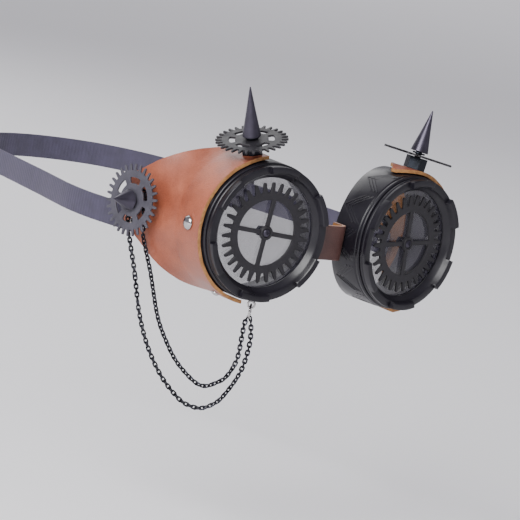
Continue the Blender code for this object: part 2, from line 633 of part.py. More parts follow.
def head_strap() -> dict:
    """The two halves of the strap, which overlap in the slider on the wearer's left."""
    loop = strap_line()
    near, far = STRAP_OVERLAP
    around = [point for point in loop if point.x < 0 or point.y > near]
    short = [point for point in loop if point.x > 0 and point.y < far]
    low = STRAP_LEVEL - STRAP_WIDTH / 2
    straps = {
        -1: ribbon("right_strap", around, STRAP_THICKNESS, strap_offset(-1), low, STRAP_WIDTH, SUEDE),
        1: ribbon("left_strap", short, STRAP_THICKNESS, strap_offset(1), low, STRAP_WIDTH, SUEDE),
    }
    start, end = next(pair for pair in zip(loop, loop[1:]) if pair[0].x > 0 and pair[1].y < SLIDER_Y)
    middle = start.lerp(end, (SLIDER_Y - start.y) / (end.y - start.y))
    middle.z = STRAP_LEVEL
    place = frame_at(middle, end - start)
    wide = STRAP_THICKNESS + STRAP_LAYERS / 2 + GAP + 0.2 * MM
    tall = STRAP_WIDTH / 2 + GAP + 0.3 * MM
    inner = [(-wide, -tall), (wide, -tall), (wide, tall), (-wide, tall)]
    thick = wide + SLIDER_WALL
    high = tall + SLIDER_WALL
    outer = [(-thick, -high), (thick, -high), (thick, high), (-thick, high)]
    shifted = place @ Matrix.Translation((0, 0, -SLIDER_LENGTH / 2))
    flat("strap_slider", [outer, inner], SLIDER_LENGTH, shifted, GUNMETAL)
    return straps


def chain_and_ring() -> None:
    """The screw eye under the right eyecup, its ring, and the chain from the ring round the temple stud."""
    eye = Eye(-1)
    down = eye.radial(EYE_ANGLE)
    swing = Vector((1, -1, 0)).normalized()
    mount = eye.at(EYE_DEPTH, BARREL_RADIUS, EYE_ANGLE)
    loop_centre = mount + down * (GAP + EYE_LOOP + EYE_WIRE)
    stem = [(0, 0.6 * MM), (0.8 * MM, 0.6 * MM), (0.8 * MM, -2.0 * MM), (0, -2.0 * MM)]
    screw_eye = turned("screw_eye", stem, frame_at(mount, down, eye.front), NICKEL, 12, False)
    combine(screw_eye, torus("screw_eye_loop", EYE_LOOP, EYE_WIRE, frame_at(loop_centre, down.cross(swing))), "UNION")
    ring_centre = loop_centre + Vector((0, 0, -RING_RADIUS))
    pivot = bpy.data.objects.new("jump_ring_pivot", None)
    pivot.matrix_world = frame_at(loop_centre + Vector((0, 0, -EYE_LOOP)), swing)
    PARTS.objects.link(pivot)
    ring = torus("jump_ring", RING_RADIUS, RING_WIRE, frame_at(ring_centre, swing), NICKEL)
    ring.parent = pivot
    ring.matrix_parent_inverse = pivot.matrix_world.inverted()

    degrees, depth = TEMPLE_STUD
    angle = math.radians(degrees)
    normal = eye.shield_normal(angle, depth)
    post = eye.shield(angle, depth) + normal * (LEATHER / 2 + CHAIN_HEIGHT)
    back = Vector((0, 0, 1)).cross(normal).normalized()
    back = back if back.y > 0 else -back
    over = [post + CHAIN_SEAT * (math.cos(turn) * back + math.sin(turn) * eye.up) for turn in (0, 0.8, 1.57, 2.34, math.pi)]
    outer, inner = ([eye.centre + Vector(point) * MM for point in part] for part in (CHAIN_OUTER, CHAIN_INNER))
    tube("chain", evenly(smooth(outer + over + inner, 6), CHAIN_POINTS), CHAIN_DIAMETER, BLACK_STEEL)


def torus(name: str, radius: float, wire: float, place: Matrix, material=None) -> bpy.types.Object:
    """A ring of round wire about local Z."""
    section = [(radius + x, y) for x, y in circle(wire, 6)][::-1]
    return turned(name, section, place, material, steps=20)


STRAPS = head_strap()
BRIDGE = bridge()
for each_side in SIDES:
    eyecup(each_side)
chain_and_ring()
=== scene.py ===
"""Costume goggles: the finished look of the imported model.

Each sub-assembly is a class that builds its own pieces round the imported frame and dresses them.
Lengths are in metres. X is to the wearer's left, Y to the back of the head, Z up.
"""

import json
import logging
import math
from collections.abc import Callable, Sequence
from dataclasses import dataclass, field
from enum import Enum

import bpy
from mathutils import Matrix, Vector, noise
from mathutils.geometry import interpolate_bezier


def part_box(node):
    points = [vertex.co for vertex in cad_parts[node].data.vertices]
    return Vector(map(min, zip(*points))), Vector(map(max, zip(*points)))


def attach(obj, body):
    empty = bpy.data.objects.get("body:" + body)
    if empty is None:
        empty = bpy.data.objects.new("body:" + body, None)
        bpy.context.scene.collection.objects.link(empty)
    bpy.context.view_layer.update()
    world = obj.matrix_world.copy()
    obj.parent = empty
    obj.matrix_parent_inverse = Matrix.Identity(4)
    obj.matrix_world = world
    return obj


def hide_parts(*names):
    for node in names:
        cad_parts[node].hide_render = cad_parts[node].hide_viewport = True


LOG = logging.getLogger("goggles")
MM = 0.001
GAP = 0.3 * MM
UP = Vector((0, 0, 1))

Profile = Sequence[tuple[float, float]]
Surface = Callable[[float, float], Vector]


class Side(Enum):
    """The wearer's right is at -X, and the wearer's left at +X."""

    RIGHT = -1
    LEFT = 1

    @property
    def word(self) -> str:
        """The side's name, as the nodes' names start."""
        return self.name.lower()


# ---------------------------------------------------------------- shader finishes


def linear(hex_colour: str, alpha: float = 1.0) -> tuple[float, float, float, float]:
    """Turns an sRGB hex colour to linear light.

    Args:
        hex_colour: six hex digits, with or without a leading hash.
        alpha: the fourth value.

    Returns:
        Red, green, blue and alpha.
    """
    digits = hex_colour.lstrip("#")
    parts = [int(digits[i : i + 2], 16) / 255 for i in (0, 2, 4)]
    red, green, blue = (c / 12.92 if c <= 0.04045 else ((c + 0.055) / 1.055) ** 2.4 for c in parts)
    return red, green, blue, alpha


def add_node(
    tree: bpy.types.NodeTree, kind: str, links: dict | None = None, values: dict | None = None, **settings: object
) -> bpy.types.Node:
    """Adds a shader node.

    Args:
        tree: the material's nodes.
        kind: the node's type name.
        links: input name or number to the socket that feeds it.
        values: input name or number to its constant.
        settings: the node's own properties.

    Returns:
        The node.
    """
    made = tree.nodes.new(kind)
    for key, value in settings.items():
        setattr(made, key, value)
    for key, value in (values or {}).items():
        made.inputs[key].default_value = value
    for key, source in (links or {}).items():
        tree.links.new(source, made.inputs[key])
    return made


@dataclass(frozen=True)
class Finish:
    """A surface: its colours and how it was made. Grain sizes are real sizes in metres."""

    name: str
    colour: str
    second: str
    roughness: float
    metallic: float = 0.0
    patch: float = 9.0 * MM  # size of the colour's slow changes
    grain: float = 0.5 * MM  # size of the bumps
    depth: float = 0.02 * MM  # height of the bumps
    spread: float = 0.08  # how far roughness strays either way
    shine: float = 0.5

    def build(self) -> bpy.types.Material:
        """Makes the material.

        Returns:
            The new material.
        """
        made = bpy.data.materials.new(self.name)
        made.use_nodes = True
        tree = made.node_tree
        shader = tree.nodes["Principled BSDF"]
        shader.inputs["Metallic"].default_value = self.metallic
        shader.inputs["Specular IOR Level"].default_value = self.shine
        where = add_node(tree, "ShaderNodeTexCoord").outputs["Object"]
        self.dress(tree, shader, where)
        return made

    def mottle(self, tree: bpy.types.NodeTree, shader: bpy.types.Node, where: bpy.types.NodeSocket) -> bpy.types.Node:
        """Slow changes of colour and roughness, as handling and uneven dye give.

        Args:
            tree: the material's nodes.
            shader: the Principled node.
            where: the coordinates to read.

        Returns:
            The colour ramp that feeds the base colour.
        """
        cloud = add_node(
            tree, "ShaderNodeTexNoise", {"Vector": where}, {"Scale": 1 / self.patch, "Detail": 4.0, "Roughness": 0.6}
        )
        ramp = add_node(tree, "ShaderNodeValToRGB", {"Fac": cloud.outputs["Fac"]})
        ramp.color_ramp.elements[0].position = 0.32
        ramp.color_ramp.elements[0].color = linear(self.colour)
        ramp.color_ramp.elements[1].position = 0.68
        ramp.color_ramp.elements[1].color = linear(self.second)
        tree.links.new(ramp.outputs["Color"], shader.inputs["Base Color"])
        rough = add_node(
            tree,
            "ShaderNodeMapRange",
            {"Value": cloud.outputs["Fac"]},
            {"From Min": 0.3, "From Max": 0.7, "To Min": self.roughness - self.spread, "To Max": self.roughness + self.spread},
        )
        tree.links.new(rough.outputs["Result"], shader.inputs["Roughness"])
        return ramp

    def bump(
        self, tree: bpy.types.NodeTree, shader: bpy.types.Node, height: bpy.types.NodeSocket, depth: float
    ) -> None:
        """Raises the surface by a pattern.

        Args:
            tree: the material's nodes.
            shader: the Principled node.
            height: the pattern, from 0 to 1.
            depth: how high a 1 stands.
        """
        bumped = add_node(tree, "ShaderNodeBump", {"Height": height}, {"Strength": 0.8, "Distance": depth})
        tree.links.new(bumped.outputs["Normal"], shader.inputs["Normal"])

    def dress(self, tree: bpy.types.NodeTree, shader: bpy.types.Node, where: bpy.types.NodeSocket) -> None:
        """Lays mottled colour and fine grain over the surface.

        Args:
            tree: the material's nodes.
            shader: the Principled node.
            where: the coordinates to read.
        """
        self.mottle(tree, shader, where)
        grain = add_node(tree, "ShaderNodeTexNoise", {"Vector": where}, {"Scale": 1 / self.grain, "Detail": 3.0})
        self.bump(tree, shader, grain.outputs["Fac"], self.depth)


@dataclass(frozen=True)
class GrainLeather(Finish):
    """Dyed grain leather: pebbled pores of under a millimetre, creases, and a waxy sheen."""

    pore: float = 0.62 * MM

    def dress(self, tree: bpy.types.NodeTree, shader: bpy.types.Node, where: bpy.types.NodeSocket) -> None:
        """Pebbles the surface and darkens its pores.

        Args:
            tree: the material's nodes.
            shader: the Principled node.
            where: the coordinates to read.
        """
        ramp = self.mottle(tree, shader, where)
        warp = add_node(tree, "ShaderNodeTexNoise", {"Vector": where}, {"Scale": 0.4 / self.pore, "Detail": 2.0})
        shift = add_node(
            tree,
            "ShaderNodeVectorMath",
            {0: warp.outputs["Color"]},
            {1: (self.pore, self.pore, self.pore)},
            operation="MULTIPLY",
        )
        moved = add_node(tree, "ShaderNodeVectorMath", {0: where, 1: shift.outputs[0]}, operation="ADD")
        pores = add_node(tree, "ShaderNodeTexVoronoi", {"Vector": moved.outputs[0]}, {"Scale": 1 / self.pore})
        cells = add_node(
            tree, "ShaderNodeMapRange", {"Value": pores.outputs["Distance"]}, {"From Max": 0.7, "To Min": 1.0, "To Max": 0.0}
        )
        crease = add_node(
            tree, "ShaderNodeTexNoise", {"Vector": where}, {"Scale": 1 / (5 * MM), "Detail": 6.0, "Roughness": 0.7}
        )
        height = add_node(
            tree, "ShaderNodeMix", {2: cells.outputs["Result"], 3: crease.outputs["Fac"]}, {0: 0.45}, data_type="FLOAT"
        )
        self.bump(tree, shader, height.outputs[0], self.depth)
        shade = add_node(
            tree, "ShaderNodeMapRange", {"Value": pores.outputs["Distance"]}, {"From Max": 0.8, "To Min": 1.06, "To Max": 0.86}
        )
        toned = add_node(
            tree,
            "ShaderNodeVectorMath",
            {0: ramp.outputs["Color"], "Scale": shade.outputs["Result"]},
            operation="SCALE",
        )
        tree.links.new(toned.outputs[0], shader.inputs["Base Color"])
        shader.inputs["Coat Weight"].default_value = 0.12
        shader.inputs["Coat Roughness"].default_value = 0.38


@dataclass(frozen=True)
class Webbing(Finish):
    """Woven elastic with a napped face: ribs across the band, spaced along its own UV length."""

    rib: float = 1.1 * MM  # drawn coarser than the real 0.5 mm, so that it shows
    length: float = 0.45

    def dress(self, tree: bpy.types.NodeTree, shader: bpy.types.Node, where: bpy.types.NodeSocket) -> None:
        """Ribs the band and dulls it with nap.

        Args:
            tree: the material's nodes.
            shader: the Principled node.
            where: the coordinates to read.
        """
        self.mottle(tree, shader, where)
        spot = add_node(tree, "ShaderNodeTexCoord").outputs["UV"]
        ribs = add_node(
            tree,
            "ShaderNodeTexWave",
            {"Vector": spot},
            {"Scale": self.length / self.rib / math.tau, "Distortion": 1.2, "Detail": 2.0, "Detail Scale": 3.0},
            bands_direction="X",
        )
        nap = add_node(tree, "ShaderNodeTexNoise", {"Vector": where}, {"Scale": 1 / self.grain, "Detail": 4.0})
        height = add_node(
            tree, "ShaderNodeMix", {2: ribs.outputs["Fac"], 3: nap.outputs["Fac"]}, {0: 0.5}, data_type="FLOAT"
        )
        self.bump(tree, shader, height.outputs[0], self.depth)
        shader.inputs["Sheen Weight"].default_value = 0.5
        shader.inputs["Sheen Roughness"].default_value = 0.4
        shader.inputs["Sheen Tint"].default_value = linear("#b9b3c2")


@dataclass(frozen=True)
class Acrylic(Finish):
    """Polished smoke-tinted acrylic, which is seen through and reflects at a glance."""

    cover: float = 0.66  # share of the light that the tint keeps back

    def dress(self, tree: bpy.types.NodeTree, shader: bpy.types.Node, where: bpy.types.NodeSocket) -> None:
        """Makes it clear, with faint wiping marks in its gloss.

        Args:
            tree: the material's nodes.
            shader: the Principled node.
            where: the coordinates to read.
        """
        shader.inputs["Base Color"].default_value = linear(self.colour)
        shader.inputs["Alpha"].default_value = self.cover
        shader.inputs["IOR"].default_value = 1.6
        marks = add_node(tree, "ShaderNodeTexNoise", {"Vector": where}, {"Scale": 1 / self.patch, "Detail": 0.0})
        rough = add_node(
            tree, "ShaderNodeMapRange", {"Value": marks.outputs["Fac"]}, {"To Min": 0.5 * self.roughness, "To Max": 1.5 * self.roughness}
        )
        tree.links.new(rough.outputs["Result"], shader.inputs["Roughness"])


@dataclass(frozen=True)
class Worn(Finish):
    """Coated metal whose coat has fine speckle, and rubs brighter in places."""

    rubbed: str = "#6f6c76"

    def dress(self, tree: bpy.types.NodeTree, shader: bpy.types.Node, where: bpy.types.NodeSocket) -> None:
        """Speckles the coat and rubs it through in small patches.

        Args:
            tree: the material's nodes.
            shader: the Principled node.
            where: the coordinates to read.
        """
        ramp = self.mottle(tree, shader, where)
        speck = add_node(
            tree, "ShaderNodeTexNoise", {"Vector": where}, {"Scale": 1 / self.grain, "Detail": 5.0, "Roughness": 0.7}
        )
        rub = add_node(
            tree, "ShaderNodeMapRange", {"Value": speck.outputs["Fac"]}, {"From Min": 0.60, "From Max": 0.78, "To Max": 0.55}
        )
        mixed = add_node(
            tree,
            "ShaderNodeMix",
            {0: rub.outputs["Result"], 6: ramp.outputs["Color"]},
            {7: linear(self.rubbed)},
            data_type="RGBA",
        )
        tree.links.new(mixed.outputs[2], shader.inputs["Base Color"])
        self.bump(tree, shader, speck.outputs["Fac"], self.depth)


class Finishes:
    """The finishes of these goggles, each made into a material once."""

    # Injection-moulded ABS: near black, and satin, so that soft light spreads over it
    abs_moulded = Finish("moulded_abs", "#121016", "#1a181f", 0.33, patch=14 * MM, grain=0.6 * MM, depth=0.003 * MM, shine=0.34)
    # Vegetable-tanned grain leather, dyed tan
    tan = GrainLeather("tan_grain_leather", "#84432e", "#a2593f", 0.42, patch=13 * MM, depth=0.17 * MM)
    # The undyed middle of the hide, where it was cut
    cut_edge = Finish("raw_cut_leather_edge", "#8a5c34", "#ad7e4c", 0.75, patch=2 * MM, grain=0.3 * MM, depth=0.08 * MM)
    # The flesh side: short fibres, no gloss
    flesh = Finish("flesh_side_leather", "#83562a", "#966434", 0.9, patch=6 * MM, grain=0.3 * MM, depth=0.10 * MM)
    brown = GrainLeather("brown_grain_leather", "#4b302c", "#5e3f39", 0.5, patch=9 * MM, depth=0.12 * MM)
    brown_edge = Finish("brown_leather_edge", "#b78d76", "#d0ab95", 0.75, patch=2 * MM, grain=0.3 * MM, depth=0.06 * MM)
    # Die-cut steel with a dark grey powder coat, which is matt
    cog = Worn("powder_coated_steel", "#19171b", "#211f24", 0.55, 0.2, patch=5 * MM, grain=0.5 * MM, depth=0.05 * MM)
    # The same coat in a lighter grey, with a coarser speckle, on the small free cogs of the temple studs. The lighter
    # grey is painted light: it stands in for the key light that falls on these cogs.
    pale_cog = Worn("grey_powder_coated_steel", "#3c3a43", "#4a4851", 0.6, 0.2, patch=4 * MM, grain=0.8 * MM, depth=0.08 * MM)
    # Turned brass with a gunmetal plate, satin
    spike = Finish("gunmetal_plate", "#3b3842", "#46424e", 0.36, 0.8, patch=7 * MM, grain=0.25 * MM, depth=0.01 * MM)
    # Blued steel: blue-black and oiled
    blued = Worn("blued_steel", "#161a21", "#222731", 0.34, 0.7, patch=4 * MM, grain=0.4 * MM, depth=0.02 * MM)
    nickel = Finish("bright_nickel_plate", "#a9a7a6", "#bfbdbc", 0.13, 1.0, patch=3 * MM, grain=0.4 * MM, depth=0.01 * MM)
    chain = Worn("blackened_steel_chain", "#1f1f24", "#303037", 0.28, 0.9, patch=3 * MM, grain=0.9 * MM, depth=0.02 * MM)
    rubber = Finish("moulded_rubber", "#1b1a1c", "#222123", 0.7, grain=0.4 * MM, depth=0.02 * MM)
    strap = Webbing("napped_elastic_webbing", "#343141", "#413d50", 0.85, patch=5 * MM, grain=0.35 * MM, depth=0.14 * MM)
    lens = Acrylic("smoke_acrylic", "#403e47", "#403e47", 0.03, patch=12 * MM)
    lens_back = Acrylic("clear_acrylic", "#403e47", "#403e47", 0.03, patch=12 * MM, cover=0.03)

    _made: dict[str, bpy.types.Material] = {}

    @classmethod
    def get(cls, finish: Finish) -> bpy.types.Material:
        """Gives a finish's material, which is made the first time."""
        if finish.name not in cls._made:
            cls._made[finish.name] = finish.build()
        return cls._made[finish.name]


# ---------------------------------------------------------------- modelling by operator


def take(piece: bpy.types.Object) -> None:
    """Deselects everything, then selects this piece and makes it active."""
    bpy.ops.object.select_all(action="DESELECT")
    piece.select_set(True)
    bpy.context.view_layer.objects.active = piece


def tidy_mesh(piece: bpy.types.Object, merge: float = 0.004 * MM) -> None:
    """Merges doubled points and turns every face outwards.

    Args:
        piece: a closed mesh.
        merge: how near two points are when they are one.
    """
    take(piece)
    bpy.ops.object.mode_set(mode="EDIT")
    bpy.ops.mesh.select_all(action="SELECT")
    bpy.ops.mesh.remove_doubles(threshold=merge)
    bpy.ops.mesh.normals_make_consistent(inside=False)
    bpy.ops.object.mode_set(mode="OBJECT")


def modify(piece: bpy.types.Object, kind: str, **settings: object) -> None:
    """Adds a modifier and applies it.

    Args:
        piece: the object.
        kind: the modifier's type.
        settings: its properties.
    """
    take(piece)
    made = piece.modifiers.new(kind.lower(), kind)
    for key, value in settings.items():
        setattr(made, key, value)
    bpy.ops.object.modifier_apply(modifier=made.name)


def soften(piece: bpy.types.Object, width: float, segments: int = 2, angle: float = 35.0) -> None:
    """Rounds every edge sharper than an angle in degrees, and shades the rest smooth."""
    modify(
        piece,
        "BEVEL",
        width=width,
        segments=segments,
        limit_method="ANGLE",
        angle_limit=math.radians(angle),
        use_clamp_overlap=True,
    )
    smooth_shade(piece, angle)


def smooth_shade(piece: bpy.types.Object, angle: float = 35.0) -> None:
    """Shades smooth all but edges sharper than an angle in degrees."""
    take(piece)
    bpy.ops.object.shade_smooth_by_angle(angle=math.radians(angle))


def turn(name: str, profile: Profile, place: Matrix, segments: int = 96, ring: bool = False) -> bpy.types.Object:
    """Turns a piece on a lathe: a circle is extruded and resized from one ring of the profile to the next.

    Args:
        name: the piece's name.
        profile: radius and height of each ring. A radius of 0 closes an end.
        place: where the local origin and Z axis go.
        segments: sides of the circle.
        ring: whether the last ring joins the first.

    Returns:
        The piece, closed.
    """
    least = 0.01 * MM
    rings = [(max(radius, least), height) for radius, height in profile]
    if ring:
        rings.append(rings[0])
    bpy.ops.object.select_all(action="DESELECT")
    bpy.ops.mesh.primitive_circle_add(vertices=segments, radius=rings[0][0], location=(0, 0, 0))
    piece = bpy.context.object
    piece.name = name
    bpy.ops.object.mode_set(mode="EDIT")
    bpy.ops.mesh.select_all(action="SELECT")
    bpy.ops.transform.translate(value=(0, 0, rings[0][1]))
    for (radius, height), (next_radius, next_height) in zip(rings, rings[1:]):
        bpy.ops.mesh.extrude_region_move(TRANSFORM_OT_translate={"value": (0, 0, next_height - height)})
        share = next_radius / radius
        bpy.ops.transform.resize(value=(share, share, 1), center_override=(0, 0, next_height))
    bpy.ops.object.mode_set(mode="OBJECT")
    tidy_mesh(piece, 1.6 * least if not ring else 0.004 * MM)
    piece.data.transform(place)
    return piece


def plate(
    name: str, outlines: Sequence[Sequence[tuple[float, float]]], low: float, high: float, place: Matrix, edge: float = 0.0
) -> bpy.types.Object:
    """Cuts a flat piece to its outlines, of which the inner ones are holes, and eases its edges.

    Args:
        name: the piece's name.
        outlines: closed outlines in local X and Y.
        low: local height of the underside.
        high: local height of the top.
        place: where the local frame goes.
        edge: width of the eased edge.

    Returns:
        The piece, closed.
    """
    curve = bpy.data.curves.new(name, "CURVE")
    curve.dimensions = "2D"
    curve.fill_mode = "BOTH"
    curve.extrude = (high - low) / 2 - edge
    curve.bevel_depth = edge
    curve.offset = -edge
    curve.bevel_resolution = 0
    for outline in outlines:
        spline = curve.splines.new("POLY")
        spline.points.add(len(outline) - 1)
        for point, (x, y) in zip(spline.points, outline):
            point.co = (x, y, 0.0, 1.0)
        spline.use_cyclic_u = True
    piece = bpy.data.objects.new(name, curve)
    bpy.context.scene.collection.objects.link(piece)
    take(piece)
    bpy.ops.object.convert(target="MESH")
    piece = bpy.context.object
    tidy_mesh(piece, 0.002 * MM)
    piece.data.transform(place @ Matrix.Translation((0, 0, (low + high) / 2)))
    smooth_shade(piece, 25)
    return piece


def skin(name: str, columns: int, rows: int, surface: Surface, outward: Callable[[Vector], Vector]) -> bpy.types.Object:
    """Lays a grid over a surface, with its UV map running 0 to 1 both ways.

    Args:
        name: the piece's name.
        columns: faces along the surface's first way.
        rows: faces along its second.
        surface: gives the point for two shares from 0 to 1.
        outward: gives the direction that the face should look in at a point.

    Returns:
        The open sheet.
    """
    bpy.ops.object.select_all(action="DESELECT")
    bpy.ops.mesh.primitive_grid_add(x_subdivisions=columns, y_subdivisions=rows, size=2, location=(0, 0, 0))
    piece = bpy.context.object
    piece.name = name
    for vertex in piece.data.vertices:
        vertex.co = surface((vertex.co.x + 1) / 2, (vertex.co.y + 1) / 2)
    piece.data.update()
    middle = piece.data.polygons[rows // 2 * columns + columns // 2]
    if middle.normal.dot(outward(middle.center)) < 0:
        bpy.ops.object.mode_set(mode="EDIT")
        bpy.ops.mesh.select_all(action="SELECT")
        bpy.ops.mesh.flip_normals()
        bpy.ops.object.mode_set(mode="OBJECT")
    return piece


def wire(name: str, points: Sequence[Vector], radius: float, closed: bool = False, sides: int = 3) -> bpy.types.Object:
    """Bends round wire along points.

    Args:
        name: the piece's name.
        points: the wire's middle line.
        radius: of the wire.
        closed: whether its ends meet.
        sides: bevel resolution, where 3 gives ten sides.

    Returns:
        The wire as a mesh.
    """
    curve = bpy.data.curves.new(name, "CURVE")
    curve.dimensions = "3D"
    curve.bevel_depth = radius
    curve.bevel_resolution = sides
    curve.use_fill_caps = True
    spline = curve.splines.new("POLY")
    spline.points.add(len(points) - 1)
    for point, spot in zip(spline.points, points):
        point.co = (*spot, 1.0)
    spline.use_cyclic_u = closed
    piece = bpy.data.objects.new(name, curve)
    bpy.context.scene.collection.objects.link(piece)
    take(piece)
    bpy.ops.object.convert(target="MESH")
    piece = bpy.context.object
    tidy_mesh(piece, 0.002 * MM)
    smooth_shade(piece, 45)
    return piece


def cut(piece: bpy.types.Object, cutter: bpy.types.Object) -> None:
    """Takes the cutter out of the piece, and removes the cutter."""
    modify(piece, "BOOLEAN", operation="DIFFERENCE", solver="EXACT", object=cutter)
    bpy.data.objects.remove(cutter)


def coat(piece: bpy.types.Object, finishes: Finish | Sequence[Finish]) -> None:
    """Gives a piece its finish, or a finish for each material number."""
    for finish in [finishes] if isinstance(finishes, Finish) else finishes:
        piece.data.materials.append(Finishes.get(finish))


def hand_over(
    piece: bpy.types.Object,
    finishes: Finish | Sequence[Finish],
    body: str,
    replaces: Sequence[str] = (),
) -> bpy.types.Object:
    """Dresses a finished piece and fixes it to its body.

    Args:
        piece: the piece, with its place in its mesh.
        finishes: its finish, or one for each material number.
        body: the body that it rides on.
        replaces: the nodes that it stands for.

    Returns:
        The same piece.
    """
    if not piece.data.materials:
        coat(piece, finishes)
    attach(piece, body)
    if replaces:
        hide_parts(*replaces)
    LOG.info("%s: %d faces on %s", piece.name, len(piece.data.polygons), body)
    return piece


# ---------------------------------------------------------------- lines and frames


def smooth(points: Sequence[Sequence[float]], per_span: int) -> list[Vector]:
    """Gives a smooth curve through the points.

    Args:
        points: the points that it passes through.
        per_span: how many points each span gets.

    Returns:
        The curve's points.
    """
    route = [Vector(point) for point in points]
    ends = [2 * route[0] - route[1], *route, 2 * route[-1] - route[-2]]
    made: list[Vector] = []
    for before, start, end, after in zip(ends, ends[1:], ends[2:], ends[3:]):
        first = start + (end - before) / 6
        second = end - (after - start) / 6
        made += interpolate_bezier(start, first, second, end, per_span + 1)[:-1]
    return [*made, route[-1]]


def evenly(points: Sequence[Vector], count: int) -> list[Vector]:
    """Spaces a number of points evenly along a path."""
    lengths = [0.0]
    for start, end in zip(points, points[1:]):
        lengths.append(lengths[-1] + (end - start).length)
    made = []
    span = 0
    for index in range(count):
        want = lengths[-1] * index / (count - 1)
        while span < len(points) - 2 and lengths[span + 1] < want:
            span += 1
        share = (want - lengths[span]) / (lengths[span + 1] - lengths[span])
        made.append(points[span].lerp(points[span + 1], share))
    return made


def length_of(points: Sequence[Vector]) -> float:
    """The length of a path."""
    return sum((end - start).length for start, end in zip(points, points[1:]))


def polar(radius: float, angle: float) -> tuple[float, float]:
    """The flat point at a radius and an angle."""
    return radius * math.cos(angle), radius * math.sin(angle)


def circle(radius: float, count: int, start: float = 0.0, end: float = math.tau) -> list[tuple[float, float]]:
    """Gives points round a circle, or along an arc with both its ends."""
    steps = count if math.isclose(end - start, math.tau) else count - 1
    turns = [start + (end - start) * i / steps for i in range(count)]
    return [(radius * math.cos(angle), radius * math.sin(angle)) for angle in turns]


def frame_at(point: Vector, outward: Vector, up: Vector = UP) -> Matrix:
    """Gives the place whose local Z points outward and whose local Y is as near up as it can be."""
    z = outward.normalized()
    x = up.cross(z).normalized()
    return Matrix.Translation(point) @ Matrix((x, z.cross(x), z)).transposed().to_4x4()


def toothed(tip: float, root: float, teeth: int, base: float, point: float) -> list[tuple[float, float]]:
    """The edge of a cog, with rounded gaps and tapered teeth.

    Args:
        tip: radius at the teeth's tips.
        root: radius at the bottom of the gaps.
        teeth: how many.
        base: half width of a tooth's foot, as a share of the pitch.
        point: half width of its tip, as a share of the pitch.

    Returns:
        The outline.
    """
    pitch = math.tau / teeth
    shoulder = root + 0.18 * (tip - root)
    crown = tip - 0.10 * (tip - root)
    half = (
        (root, -0.5), (root, -base - 0.06), (shoulder, -base), (crown, -point), (tip, -0.45 * point),
        (tip, 0.45 * point), (crown, point), (shoulder, base), (root, base + 0.06),
    )
    return [
        (radius * math.cos((tooth + share) * pitch), radius * math.sin((tooth + share) * pitch))
        for tooth in range(teeth)
        for radius, share in half
    ]


@dataclass
class Eye:
    """The axes of one eyecup, read from the joint that its cap turns on."""

    side: Side
    centre: Vector = field(init=False)
    front: Vector = field(init=False)
    outward: Vector = field(init=False)

    def __post_init__(self) -> None:
        """Finds the cap's joint."""
        joint = joint_of(f"{self.side.word}_cap_unscrew")
        self.centre = Vector(joint["pos_m"])
        self.front = Vector(joint["axis"]).normalized()
        self.outward = UP.cross(self.front) * self.side.value
        if self.outward.x * self.side.value < 0:
            self.outward = -self.outward

    def radial(self, angle: float) -> Vector:
        """The direction at an angle from the top, outwards."""
        return math.cos(angle) * UP + math.sin(angle) * self.outward

    def at(self, depth: float, radius: float, angle: float) -> Vector:
        """The point at a depth behind the cog overlay, a radius and an angle."""
        return self.centre - depth * self.front + radius * self.radial(angle)

    def place(self, depth: float = 0.0) -> Matrix:
        """A frame on the axis: local Z to the front, local Y up."""
        return frame_at(self.centre - depth * self.front, self.front)


def joint_of(name: str) -> dict:
    """Finds a joint by its name."""
    return next(joint for joint in FRAME["joints"] if joint["name"] == name)


# ---------------------------------------------------------------- sub-assemblies


